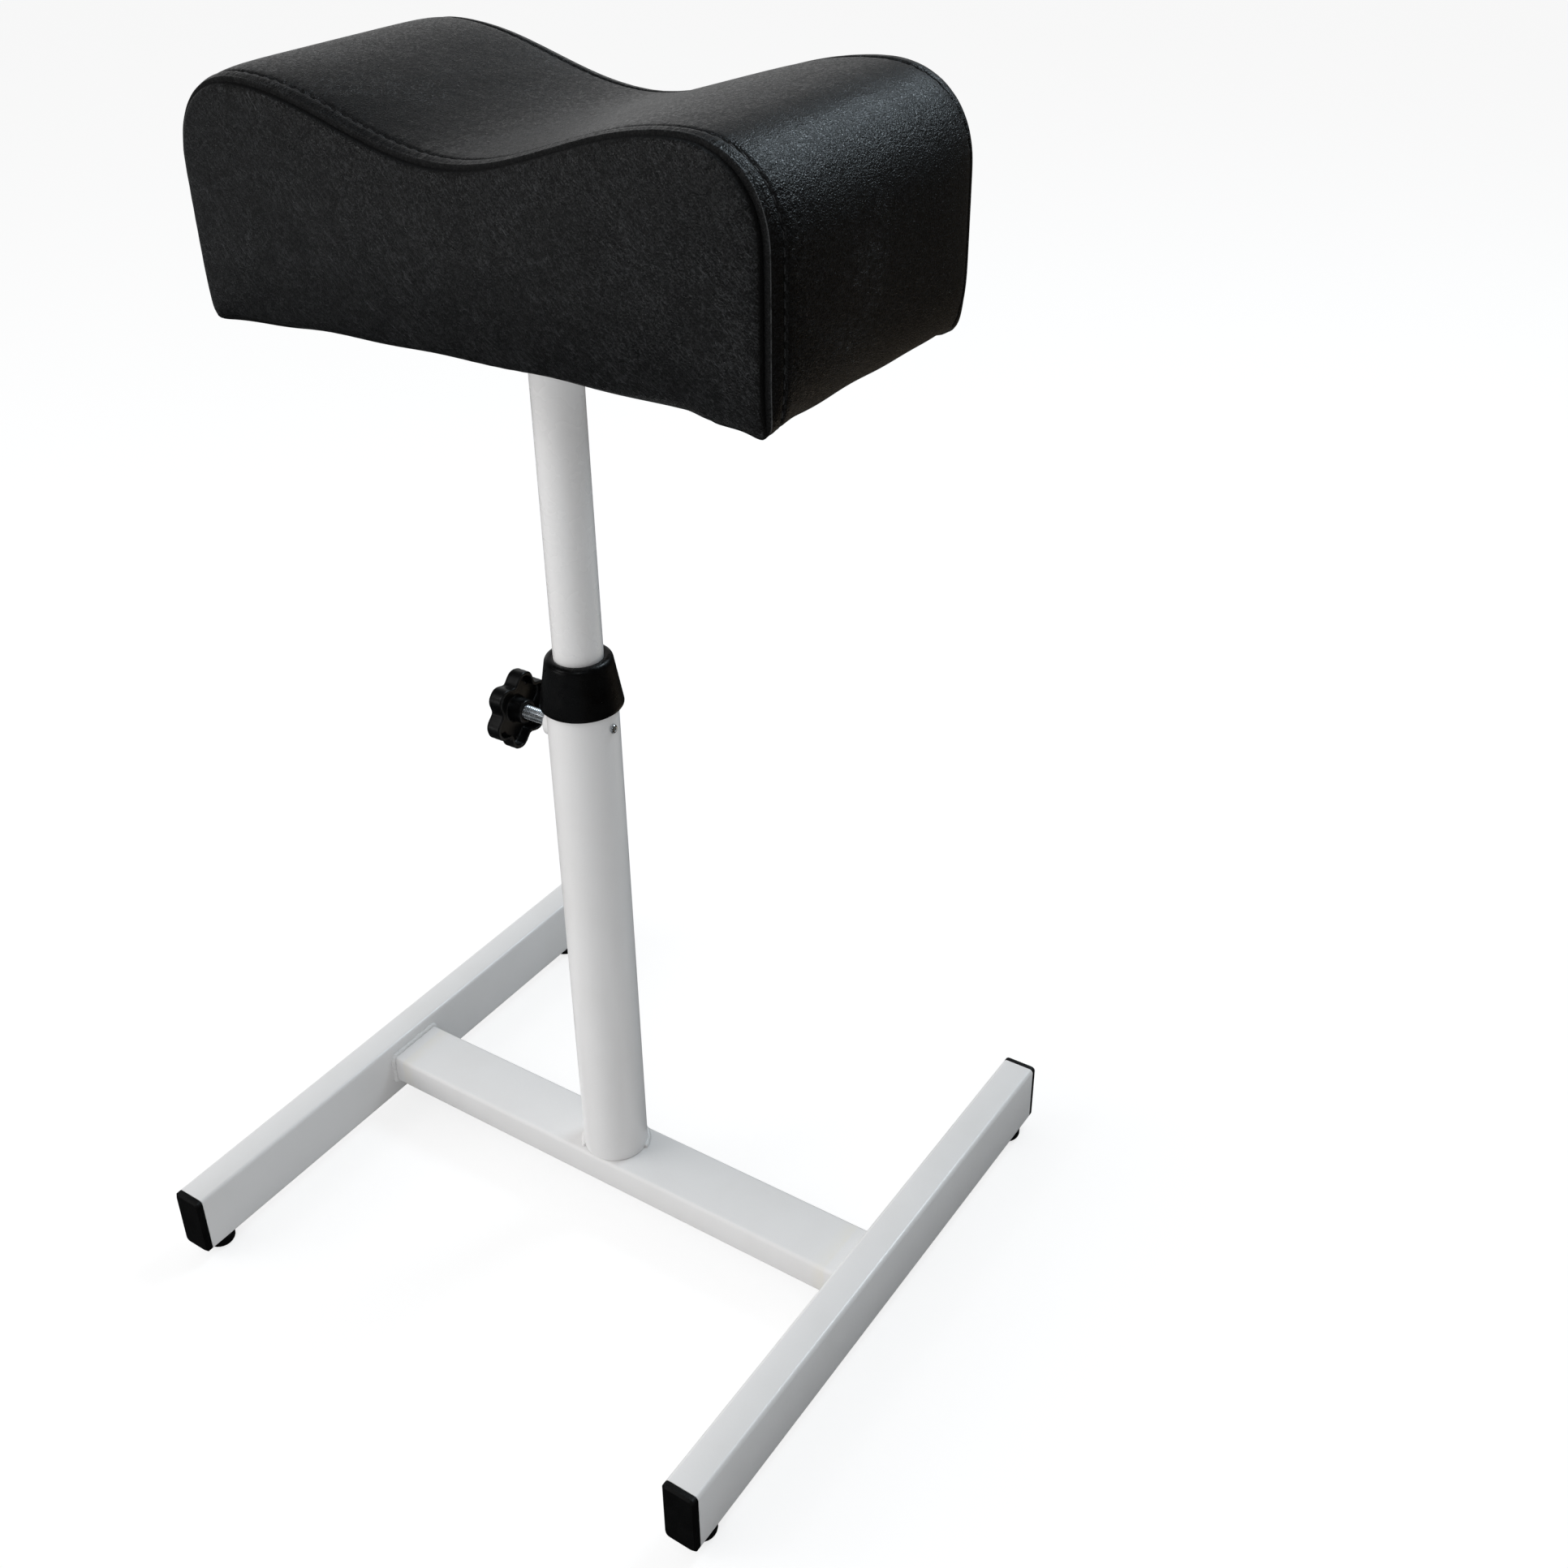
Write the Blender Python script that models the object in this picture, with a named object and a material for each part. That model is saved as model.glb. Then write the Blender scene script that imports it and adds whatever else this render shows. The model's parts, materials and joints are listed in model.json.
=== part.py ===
# Pedicure footrest: a two-rail steel base, a telescoping post that a star knob
# clamps, and a boxed leatherette pad with two crests and a valley for the leg.
# Metres, +Z up. The origin is on the floor under the post; -Y is the front,
# and the clamp's knob is on the left, at -X.

import math

import bmesh
import bpy
from mathutils import Vector

# Fits that all pieces share
SEAT_GAP = 0.0003            # between pieces that touch
RUN_GAP = 0.0003             # round a post, a stud or a screw in its hole
CUT_OVERRUN = 0.002          # how far a cutter reaches past what it cuts

# Base rails and the tube between them
BASE_WIDTH = 0.380           # over the rails' outer faces
BASE_DEPTH = 0.380           # over the end caps
RAIL_WIDTH = 0.020
RAIL_HEIGHT = 0.040
RAIL_WALL = 0.0015
RAIL_CORNER = 0.0025
CROSS_WIDTH = 0.040
CROSS_HEIGHT = 0.020
CROSS_WALL = 0.0015
CROSS_CORNER = 0.0025
CROSS_LIFT = 0.0015          # above the middle of the rails' height

# End caps
CAP_PLATE = 0.004
CAP_ROUND = 0.0012
CAP_PLUG_CLEAR = 0.0010      # plug's tip from the glide's stem
CAP_PLUG_WALL = 0.0016
CAP_RIB_RISE = 0.0006
CAP_RIB_COUNT = 2

# Glides under the rails
FOOT_HEIGHT = 0.008
FOOT_RADIUS = 0.0092
FOOT_ROUND = 0.0030
FOOT_INSET = 0.0138          # glide's middle from the end cap's plate
FOOT_STEM_RADIUS = 0.0040
FOOT_STEM_LENGTH = 0.0070
FOOT_BARB_RISE = 0.0006

# Posts
LOWER_RADIUS = 0.0195
LOWER_WALL = 0.0015
LOWER_LENGTH = 0.3222
UPPER_RADIUS = 0.01335
UPPER_WALL = 0.0015
UPPER_LENGTH = 0.3440
UPPER_REACH = 0.1955         # out of the lower post, at this setting

# Collar with the guide sleeve
COLLAR_SKIRT_RADIUS = 0.0226
COLLAR_TOP_RADIUS = 0.0184
COLLAR_SKIRT = 0.0110        # down over the lower post
COLLAR_ABOVE = 0.0178        # above the lower post's end
COLLAR_ROUND = 0.0032
COLLAR_LIP_ROUND = 0.0008
SLEEVE_DEPTH = 0.0610        # down inside the lower post

# Clamp
STUD_RADIUS = 0.0040
STUD_BELOW_COLLAR = 0.0175   # stud's axis under the collar's lower rim
STUD_CHAMFER = 0.0008
NUT_RADIUS = 0.0080
NUT_STANDS_OUT = 0.0035
NUT_CHAMFER = 0.0008
KNOB_RADIUS = 0.0222
KNOB_LOBES = 6
KNOB_LOBE_DEPTH = 0.0050
KNOB_LOBE_POWER = 1.4        # above 1 widens the lobes
KNOB_THICKNESS = 0.0090
KNOB_EDGE = 0.0012
KNOB_CROWN = 0.0022
KNOB_TURN = math.radians(14)
KNOB_HUB_RADIUS = 0.0068
KNOB_HUB_RISE = 0.0030
KNOB_OFFSET = 0.0390         # hub's face from the post's axis
KNOB_SOCKET = 0.0090

# Screw that holds the sleeve
PIN_BELOW_COLLAR = 0.0100
PIN_RADIUS = 0.0014
PIN_LENGTH = 0.0040
PIN_HEAD_RADIUS = 0.0025
PIN_HEAD_HEIGHT = 0.0016

# Plug in the upper post's lower end
PLUG_FLANGE = 0.0040
PLUG_INSERT = 0.0180
PLUG_BORE_RADIUS = 0.0070

# Plate under the pad and its screws
PLATE_SIZE = 0.1000
PLATE_THICKNESS = 0.0040
PLATE_CORNER = 0.0100
SCREW_INSET = 0.0130         # from the plate's edges
SCREW_RADIUS = 0.0020
SCREW_LENGTH = 0.0140
SCREW_HEAD_RADIUS = 0.0042
SCREW_HEAD_HEIGHT = 0.0024

# Pad
PAD_SHIFT_X = 0.0110         # pad's middle from the post's axis
PAD_SHIFT_Y = 0.0005
PAD_TURN = math.radians(-1.6)  # about the post, at this setting
PAD_SEAM_WIDTH = 0.3250
PAD_DEPTH = 0.1540           # between the front and back seams
PAD_CREST_HEIGHT = 0.1137    # seam at the crests, above the lowest corner
PAD_VALLEY_DROP = 0.0245
PAD_CREST_SPAN = 0.2470
PAD_SHOULDER_HEIGHT = 0.0400
PAD_FOOT_ROUND = 0.0070
PAD_SIDE_TUCK = 0.0020
PAD_TOP_CROWN = 0.0032
PAD_SIDE_CROWN = 0.0050
PAD_PANEL_CROWN = 0.0050
PAD_HEM_TUCK = 0.0075
PAD_HEM_HEIGHT = 0.0300
PAD_HEM_RISE = 0.0055
PAD_COVER_BELOW_BOARD = 0.0008
BOARD_WIDTH = 0.3020
BOARD_DEPTH = 0.1260
BOARD_THICKNESS = 0.0120
BOARD_CORNER = 0.0120
COVER_INSET = 0.0040         # cloth's edge inside the board's edge

# Fineness of round forms, in segments
POST_SEGMENTS = 48
SMALL_SEGMENTS = 24
SCREW_SEGMENTS = 16
CORNER_SEGMENTS = 4
ROUND_SEGMENTS = 4
KNOB_SEGMENTS_PER_LOBE = 12
PAD_TOP_SEGMENTS = 22
PAD_SHOULDER_SEGMENTS = 6
PAD_SIDE_SEGMENTS = 4
PAD_BOTTOM_SEGMENTS = 14

# How the pad's rings share its depth, and a panel's rings its seam outline
PAD_STRIP_SHARES = (0.0, 0.45, 0.78, 0.93, 1.0)
PAD_PANEL_SHARES = (0.965, 0.88, 0.72, 0.48, 0.2)
PAD_SHOULDER_POWER = 2.15
PAD_STRIP_POWER = 8
PAD_HEM_POWER = 10

# Places and heights that follow from the sizes above
RAIL_Z = FOOT_HEIGHT + RAIL_HEIGHT / 2
CROSS_Z = RAIL_Z + CROSS_LIFT
LOWER_BOTTOM_Z = CROSS_Z + CROSS_HEIGHT / 2 + SEAT_GAP
LOWER_TOP_Z = LOWER_BOTTOM_Z + LOWER_LENGTH
COLLAR_BOTTOM_Z = LOWER_TOP_Z - COLLAR_SKIRT
STUD_Z = COLLAR_BOTTOM_Z - STUD_BELOW_COLLAR
PIN_Z = COLLAR_BOTTOM_Z - PIN_BELOW_COLLAR
UPPER_TOP_Z = LOWER_TOP_Z + UPPER_REACH
UPPER_BOTTOM_Z = UPPER_TOP_Z - UPPER_LENGTH
PLATE_Z = UPPER_TOP_Z + SEAT_GAP
COVER_Z = PLATE_Z + PLATE_THICKNESS + SEAT_GAP
BOARD_Z = COVER_Z + PAD_COVER_BELOW_BOARD + SEAT_GAP
PAD_Z = BOARD_Z - PAD_HEM_RISE - PAD_COVER_BELOW_BOARD
LOWER_BORE = LOWER_RADIUS - LOWER_WALL
SLEEVE_RADIUS = LOWER_BORE - RUN_GAP
SLEEVE_BORE = UPPER_RADIUS + RUN_GAP
HALF_SEAM = PAD_SEAM_WIDTH / 2
FOOT_BARB_RADIUS = FOOT_STEM_RADIUS + FOOT_BARB_RISE
CAP_PLUG_DEPTH = FOOT_INSET - FOOT_BARB_RADIUS - CAP_PLUG_CLEAR


def clear_scene():
    for item in list(bpy.data.objects):
        bpy.data.objects.remove(item, do_unlink=True)


def material(name, colour, roughness, metallic=0.0):
    made = bpy.data.materials.new(name)
    made.use_nodes = True
    shader = made.node_tree.nodes["Principled BSDF"]
    shader.inputs["Base Color"].default_value = (*colour, 1.0)
    shader.inputs["Roughness"].default_value = roughness
    shader.inputs["Metallic"].default_value = metallic
    made.diffuse_color = (*colour, 1.0)
    return made


def add_object(name, mesh, look, location=(0, 0, 0), rotation=(0, 0, 0)):
    # The solid keeps its own axes and is placed by location and rotation.
    bmesh.ops.recalc_face_normals(mesh, faces=mesh.faces)
    data = bpy.data.meshes.new(name)
    mesh.to_mesh(data)
    mesh.free()
    data.shade_smooth()
    data.set_sharp_from_angle(angle=math.radians(35))
    data.materials.append(look)
    made = bpy.data.objects.new(name, data)
    made.location = location
    made.rotation_euler = rotation
    bpy.context.collection.objects.link(made)
    return made


def add_copy(source, name, location, rotation=(0, 0, 0)):
    # A repeated piece shares its mesh and its cuts with the first one.
    made = source.copy()
    made.name = name
    made.location = location
    made.rotation_euler = rotation
    bpy.context.collection.objects.link(made)
    return made


def add_pivot(name, location, parent=None):
    pivot = bpy.data.objects.new(name, None)
    pivot.location = location
    pivot.empty_display_size = FOOT_RADIUS
    bpy.context.collection.objects.link(pivot)
    if parent:
        attach(pivot, parent)
    return pivot


def attach(child, parent):
    bpy.context.view_layer.update()
    child.parent = parent
    child.matrix_parent_inverse = parent.matrix_world.inverted()


def cut(target, cutter):
    # The cutter moves with the piece that it cuts.
    cutter.hide_render = True
    cutter.display_type = "WIRE"
    attach(cutter, target)
    boolean = target.modifiers.new("cut", "BOOLEAN")
    boolean.operation = "DIFFERENCE"
    boolean.solver = "EXACT"
    boolean.object = cutter


def loft(loops, ring=False):
    # Skins a row of loops; a ring also joins the last loop to the first.
    mesh = bmesh.new()
    rows = [[mesh.verts.new(point) for point in loop] for loop in loops]
    pairs = list(zip(rows, rows[1:]))
    if ring:
        pairs.append((rows[-1], rows[0]))
    else:
        mesh.faces.new(rows[0])
        mesh.faces.new(rows[-1])
    for first, second in pairs:
        for index in range(len(first)):
            after = (index + 1) % len(first)
            mesh.faces.new((first[index], first[after], second[after], second[index]))
    return mesh


def turned(profile, segments, ring=False):
    # Spins a profile of (radius, height) points about the Z axis.
    mesh = bmesh.new()
    points = [mesh.verts.new((radius, 0, height)) for radius, height in profile]
    edges = [mesh.edges.new(pair) for pair in zip(points, points[1:])]
    if ring:
        edges.append(mesh.edges.new((points[-1], points[0])))
    bmesh.ops.spin(
        mesh,
        geom=points + edges,
        cent=(0, 0, 0),
        axis=(0, 0, 1),
        angle=math.tau,
        steps=segments,
        use_merge=True,
    )
    bmesh.ops.remove_doubles(mesh, verts=mesh.verts, dist=RUN_GAP / 100)
    return mesh


def arc(middle, radius, start, end, steps):
    # Points of an arc about a (radius, height) point, angles in degrees.
    made = []
    for step in range(steps + 1):
        angle = math.radians(start + (end - start) * step / steps)
        made.append((middle[0] + radius * math.cos(angle), middle[1] + radius * math.sin(angle)))
    return made


def rounded_box_outline(width, height, corner):
    outline = []
    for turn, (side, rise) in enumerate(((1, 1), (-1, 1), (-1, -1), (1, -1))):
        middle = (side * (width / 2 - corner), rise * (height / 2 - corner))
        outline += arc(middle, corner, 90 * turn, 90 * turn + 90, CORNER_SEGMENTS)
    return outline


def at_height(outline, height):
    return [(x, y, height) for x, y in outline]


def circle(radius, height, segments):
    full = [math.tau * index / segments for index in range(segments)]
    return [(radius * math.cos(angle), radius * math.sin(angle), height) for angle in full]


def box_tube(width, height, wall, corner, length):
    # A rectangular tube with real walls, open at both ends, along Z.
    outer = rounded_box_outline(width, height, corner)
    inner = rounded_box_outline(width - 2 * wall, height - 2 * wall, corner - wall)
    ends = (-length / 2, length / 2)
    loops = [at_height(outer, ends[0]), at_height(outer, ends[1])]
    loops += [at_height(inner, ends[1]), at_height(inner, ends[0])]
    return loft(loops, ring=True)


def round_tube(radius, wall, length):
    # A round tube with real walls, open at both ends, up from its origin.
    profile = [(radius, 0), (radius, length), (radius - wall, length), (radius - wall, 0)]
    return turned(profile, POST_SEGMENTS, ring=True)


def rod_cutter(name, radius, start, end):
    # A plain cutter between two points on one straight line.
    start, end = Vector(start), Vector(end)
    along = end - start
    mesh = loft([circle(radius, 0, SMALL_SEGMENTS), circle(radius, along.length, SMALL_SEGMENTS)])
    made = add_object(name, mesh, LOOKS["cutter"], start, along.to_track_quat("Z", "Y").to_euler())
    return made


def make_rails():
    length = BASE_DEPTH - 2 * CAP_PLATE - 2 * SEAT_GAP
    along_y = (math.radians(90), 0, 0)
    foot_y = BASE_DEPTH / 2 - CAP_PLATE - FOOT_INSET
    hole = FOOT_STEM_RADIUS + RUN_GAP
    for side, sign in (("left", -1), ("right", 1)):
        x = sign * (BASE_WIDTH - RAIL_WIDTH) / 2
        mesh = box_tube(RAIL_WIDTH, RAIL_HEIGHT, RAIL_WALL, RAIL_CORNER, length)
        rail = add_object("rail_" + side, mesh, LOOKS["white steel"], (x, 0, RAIL_Z), along_y)
        for end, way in (("front", -1), ("back", 1)):
            low = (x, way * foot_y, FOOT_HEIGHT - CUT_OVERRUN)
            high = (x, way * foot_y, FOOT_HEIGHT + RAIL_WALL + CUT_OVERRUN)
            cut(rail, rod_cutter("foot_hole_" + side + "_" + end, hole, low, high))


def make_cross_tube():
    length = BASE_WIDTH - 2 * RAIL_WIDTH - 2 * SEAT_GAP
    mesh = box_tube(CROSS_HEIGHT, CROSS_WIDTH, CROSS_WALL, CROSS_CORNER, length)
    along_x = (0, math.radians(90), 0)
    add_object("cross_tube", mesh, LOOKS["white steel"], (0, 0, CROSS_Z), along_x)


def make_caps():
    # The plate's face lies at the origin and the ribbed plug points along +Z.
    inner_corner = RAIL_CORNER - RAIL_WALL
    fit_width = RAIL_WIDTH - 2 * RAIL_WALL - 2 * RUN_GAP
    fit_height = RAIL_HEIGHT - 2 * RAIL_WALL - 2 * RUN_GAP
    face = rounded_box_outline(RAIL_WIDTH - 2 * CAP_ROUND, RAIL_HEIGHT - 2 * CAP_ROUND, RAIL_CORNER)
    full = rounded_box_outline(RAIL_WIDTH, RAIL_HEIGHT, RAIL_CORNER)
    rib = rounded_box_outline(fit_width, fit_height, inner_corner)
    core_width = fit_width - 2 * CAP_RIB_RISE
    core_height = fit_height - 2 * CAP_RIB_RISE
    core = rounded_box_outline(core_width, core_height, inner_corner)
    hollow_width = core_width - 2 * CAP_PLUG_WALL
    hollow_height = core_height - 2 * CAP_PLUG_WALL
    hollow = rounded_box_outline(hollow_width, hollow_height, inner_corner)
    loops = [at_height(face, 0), at_height(full, CAP_ROUND), at_height(full, CAP_PLATE)]
    loops.append(at_height(core, CAP_PLATE))
    pitch = CAP_PLUG_DEPTH / (CAP_RIB_COUNT + 1)
    for index in range(CAP_RIB_COUNT):
        crest = CAP_PLATE + pitch * (index + 1)
        loops.append(at_height(core, crest - CAP_RIB_RISE))
        loops.append(at_height(rib, crest))
        loops.append(at_height(core, crest + 2 * CAP_RIB_RISE))
    tip = CAP_PLATE + CAP_PLUG_DEPTH
    loops += [at_height(core, tip), at_height(hollow, tip), at_height(hollow, CAP_PLATE)]
    first = None
    for side, sign in (("left", -1), ("right", 1)):
        for end, way in (("front", -1), ("back", 1)):
            place = (sign * (BASE_WIDTH - RAIL_WIDTH) / 2, way * BASE_DEPTH / 2, RAIL_Z)
            turn = (math.radians(90 * way), 0, 0)
            name = "cap_" + side + "_" + end
            if first:
                add_copy(first, name, place, turn)
            else:
                first = add_object(name, loft(loops), LOOKS["black plastic"], place, turn)


def make_feet():
    top = FOOT_HEIGHT - SEAT_GAP
    stem_top = top + FOOT_STEM_LENGTH
    wall_top = FOOT_HEIGHT + RAIL_WALL + RUN_GAP
    profile = [(0, 0)]
    profile += arc((FOOT_RADIUS - FOOT_ROUND, FOOT_ROUND), FOOT_ROUND, -90, 0, ROUND_SEGMENTS)
    profile += [(FOOT_RADIUS, top - FOOT_BARB_RISE), (FOOT_RADIUS - FOOT_BARB_RISE, top)]
    profile += [(FOOT_STEM_RADIUS, top), (FOOT_STEM_RADIUS, wall_top)]
    profile += [(FOOT_BARB_RADIUS, wall_top), (FOOT_BARB_RADIUS, wall_top + FOOT_BARB_RISE)]
    profile.append((FOOT_STEM_RADIUS - FOOT_BARB_RISE, stem_top))
    profile.append((0, stem_top))
    foot_y = BASE_DEPTH / 2 - CAP_PLATE - FOOT_INSET
    first = None
    for side, sign in (("left", -1), ("right", 1)):
        for end, way in (("front", -1), ("back", 1)):
            place = (sign * (BASE_WIDTH - RAIL_WIDTH) / 2, way * foot_y, 0)
            name = "foot_" + side + "_" + end
            if first:
                add_copy(first, name, place)
            else:
                mesh = turned(profile, SMALL_SEGMENTS)
                first = add_object(name, mesh, LOOKS["black plastic"], place)


def make_lower_post():
    mesh = round_tube(LOWER_RADIUS, LOWER_WALL, LOWER_LENGTH)
    post = add_object("lower_post", mesh, LOOKS["white steel"], (0, 0, LOWER_BOTTOM_Z))
    cut(post, stud_hole("stud_hole_post"))
    cut(post, pin_hole("pin_hole_post"))


def stud_hole(name):
    # Way for the clamp's stud, from the upper post's bore out to the left.
    start = (-UPPER_RADIUS / 2, 0, STUD_Z)
    end = (-LOWER_RADIUS - NUT_STANDS_OUT - CUT_OVERRUN, 0, STUD_Z)
    return rod_cutter(name, STUD_RADIUS + RUN_GAP, start, end)


def pin_hole(name):
    # Way for the sleeve's screw, from the right.
    start = (UPPER_RADIUS / 2, 0, PIN_Z)
    end = (LOWER_RADIUS + CUT_OVERRUN, 0, PIN_Z)
    return rod_cutter(name, PIN_RADIUS + RUN_GAP, start, end)


def make_collar():
    # One turned ring: cone, rounded top, bore, sleeve and the slot for the tube.
    top = COLLAR_SKIRT + COLLAR_ABOVE
    lip = COLLAR_LIP_ROUND
    slot_outer = LOWER_RADIUS + RUN_GAP
    seat = COLLAR_SKIRT + SEAT_GAP
    sleeve_end = COLLAR_SKIRT - SLEEVE_DEPTH
    rounding = (COLLAR_TOP_RADIUS - COLLAR_ROUND, top - COLLAR_ROUND)
    profile = [(slot_outer, seat), (slot_outer, 0)]
    profile += arc((COLLAR_SKIRT_RADIUS - lip, lip), lip, -90, 0, ROUND_SEGMENTS)
    profile += arc(rounding, COLLAR_ROUND, 8, 90, 2 * ROUND_SEGMENTS)
    profile += [(SLEEVE_BORE + lip, top), (SLEEVE_BORE, top - lip)]
    profile += [(SLEEVE_BORE, sleeve_end), (SLEEVE_RADIUS - lip, sleeve_end)]
    profile += [(SLEEVE_RADIUS, sleeve_end + lip), (SLEEVE_RADIUS, seat)]
    mesh = turned(profile, POST_SEGMENTS, ring=True)
    collar = add_object("collar", mesh, LOOKS["black plastic"], (0, 0, COLLAR_BOTTOM_Z))
    cut(collar, stud_hole("stud_hole_sleeve"))
    cut(collar, pin_hole("pin_hole_sleeve"))


def make_clamp_nut():
    # A round boss, hollowed to sit on the post, with the stud's hole through it.
    reach = LOWER_RADIUS + NUT_STANDS_OUT
    base = LOWER_RADIUS / 2
    profile = [(0, base), (NUT_RADIUS, base), (NUT_RADIUS, reach - NUT_CHAMFER)]
    profile += [(NUT_RADIUS - NUT_CHAMFER, reach), (0, reach)]
    to_left = (0, math.radians(-90), 0)
    mesh = turned(profile, SMALL_SEGMENTS)
    nut = add_object("clamp_nut", mesh, LOOKS["white steel"], (0, 0, STUD_Z), to_left)
    low = (0, 0, STUD_Z - NUT_RADIUS - CUT_OVERRUN)
    high = (0, 0, STUD_Z + NUT_RADIUS + CUT_OVERRUN)
    saddle = loft([
        circle(LOWER_RADIUS + SEAT_GAP, low[2], POST_SEGMENTS),
        circle(LOWER_RADIUS + SEAT_GAP, high[2], POST_SEGMENTS),
    ])
    cut(nut, add_object("nut_saddle", saddle, LOOKS["cutter"]))
    cut(nut, stud_hole("stud_hole_nut"))


def make_clamp(pivot):
    # The stud and the knob lie along -X, with the stud's tip on the upper post.
    to_left = (0, math.radians(-90), 0)
    tip = UPPER_RADIUS + SEAT_GAP
    end = KNOB_OFFSET + KNOB_SOCKET - SEAT_GAP
    inner = STUD_RADIUS - STUD_CHAMFER
    profile = [(0, tip), (inner, tip), (STUD_RADIUS, tip + STUD_CHAMFER)]
    profile += [(STUD_RADIUS, end - STUD_CHAMFER), (inner, end), (0, end)]
    mesh = turned(profile, SMALL_SEGMENTS)
    stud = add_object("clamp_stud", mesh, LOOKS["zinc steel"], (0, 0, STUD_Z), to_left)
    attach(stud, pivot)
    knob = add_object("clamp_knob", knob_mesh(), LOOKS["black plastic"], (0, 0, STUD_Z), to_left)
    attach(knob, pivot)


def star(inset, height):
    count = KNOB_LOBES * KNOB_SEGMENTS_PER_LOBE
    made = []
    for index in range(count):
        angle = math.tau * index / count
        hollow = (0.5 - 0.5 * math.cos(KNOB_LOBES * angle)) ** KNOB_LOBE_POWER
        radius = KNOB_RADIUS - inset - KNOB_LOBE_DEPTH * hollow
        turned_angle = angle + KNOB_TURN
        made.append((radius * math.cos(turned_angle), radius * math.sin(turned_angle), height))
    return made


def knob_mesh():
    # From the blind socket's floor, over the hub and the star, to the crown.
    count = KNOB_LOBES * KNOB_SEGMENTS_PER_LOBE
    near = KNOB_OFFSET + KNOB_HUB_RISE
    far = near + KNOB_THICKNESS
    socket = STUD_RADIUS + RUN_GAP
    loops = [
        circle(socket, KNOB_OFFSET + KNOB_SOCKET, count),
        circle(socket, KNOB_OFFSET, count),
        circle(KNOB_HUB_RADIUS, KNOB_OFFSET, count),
        circle(KNOB_HUB_RADIUS, near, count),
        star(KNOB_EDGE, near),
        star(0, near + KNOB_EDGE),
        star(0, far - 2 * KNOB_EDGE),
        star(KNOB_EDGE / 2, far - KNOB_EDGE / 2),
        star(2 * KNOB_EDGE, far),
        circle(KNOB_RADIUS / 2, far + KNOB_CROWN / 2, count),
        circle(KNOB_RADIUS / 4, far + KNOB_CROWN, count),
    ]
    return loft(loops)


def make_bush_screw():
    inner = LOWER_RADIUS + SEAT_GAP
    outer = inner + PIN_HEAD_HEIGHT
    profile = [(0, inner - PIN_LENGTH), (PIN_RADIUS, inner - PIN_LENGTH), (PIN_RADIUS, inner)]
    profile += [(PIN_HEAD_RADIUS, inner), (PIN_HEAD_RADIUS, inner + PIN_HEAD_HEIGHT / 2)]
    profile += [(PIN_HEAD_RADIUS - PIN_HEAD_HEIGHT / 2, outer), (0, outer)]
    mesh = turned(profile, SCREW_SEGMENTS)
    to_right = (0, math.radians(90), 0)
    add_object("bush_screw", mesh, LOOKS["zinc steel"], (0, 0, PIN_Z), to_right)


def make_end_plug(pivot):
    flange = LOWER_BORE - RUN_GAP
    core = UPPER_RADIUS - UPPER_WALL - RUN_GAP
    chamfer = STUD_CHAMFER
    profile = [(PLUG_BORE_RADIUS, -PLUG_FLANGE), (flange - chamfer, -PLUG_FLANGE)]
    profile += [(flange, chamfer - PLUG_FLANGE), (flange, -SEAT_GAP), (core, -SEAT_GAP)]
    profile += [(core, PLUG_INSERT - chamfer), (core - chamfer, PLUG_INSERT)]
    profile.append((PLUG_BORE_RADIUS, PLUG_INSERT))
    mesh = turned(profile, POST_SEGMENTS, ring=True)
    plug = add_object("post_end_plug", mesh, LOOKS["black plastic"], (0, 0, UPPER_BOTTOM_Z))
    attach(plug, pivot)


def make_upper_post(pivot):
    mesh = round_tube(UPPER_RADIUS, UPPER_WALL, UPPER_LENGTH)
    post = add_object("upper_post", mesh, LOOKS["white steel"], (0, 0, UPPER_BOTTOM_Z))
    attach(post, pivot)


def plate_screw_places():
    reach = PLATE_SIZE / 2 - SCREW_INSET
    return [(reach, reach), (-reach, reach), (-reach, -reach), (reach, -reach)]


def slab(outline, thickness):
    return loft([at_height(outline, 0), at_height(outline, thickness)])


def screw_hole(name, place, low, high):
    start = (place[0], place[1], low - CUT_OVERRUN)
    end = (place[0], place[1], high + CUT_OVERRUN)
    return rod_cutter(name, SCREW_RADIUS + RUN_GAP, start, end)


def make_plate(pivot):
    outline = rounded_box_outline(PLATE_SIZE, PLATE_SIZE, PLATE_CORNER)
    mesh = slab(outline, PLATE_THICKNESS)
    plate = add_object("pad_plate", mesh, LOOKS["white steel"], (0, 0, PLATE_Z))
    for index, place in enumerate(plate_screw_places()):
        hole = screw_hole("plate_hole_" + str(index), place, PLATE_Z, PLATE_Z + PLATE_THICKNESS)
        cut(plate, hole)
    attach(plate, pivot)


def make_plate_screws(pivot):
    under = PLATE_Z - SEAT_GAP
    head = under - SCREW_HEAD_HEIGHT
    profile = [(0, head), (SCREW_HEAD_RADIUS / 2, head)]
    profile += [(SCREW_HEAD_RADIUS, head + SCREW_HEAD_HEIGHT / 2), (SCREW_HEAD_RADIUS, under)]
    profile += [(SCREW_RADIUS, under), (SCREW_RADIUS, under + SCREW_LENGTH - SCREW_RADIUS)]
    profile.append((0, under + SCREW_LENGTH))
    for index, place in enumerate(plate_screw_places()):
        mesh = turned(profile, SCREW_SEGMENTS)
        name = "plate_screw_" + str(index + 1)
        screw = add_object(name, mesh, LOOKS["zinc steel"], (place[0], place[1], 0))
        attach(screw, pivot)


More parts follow.
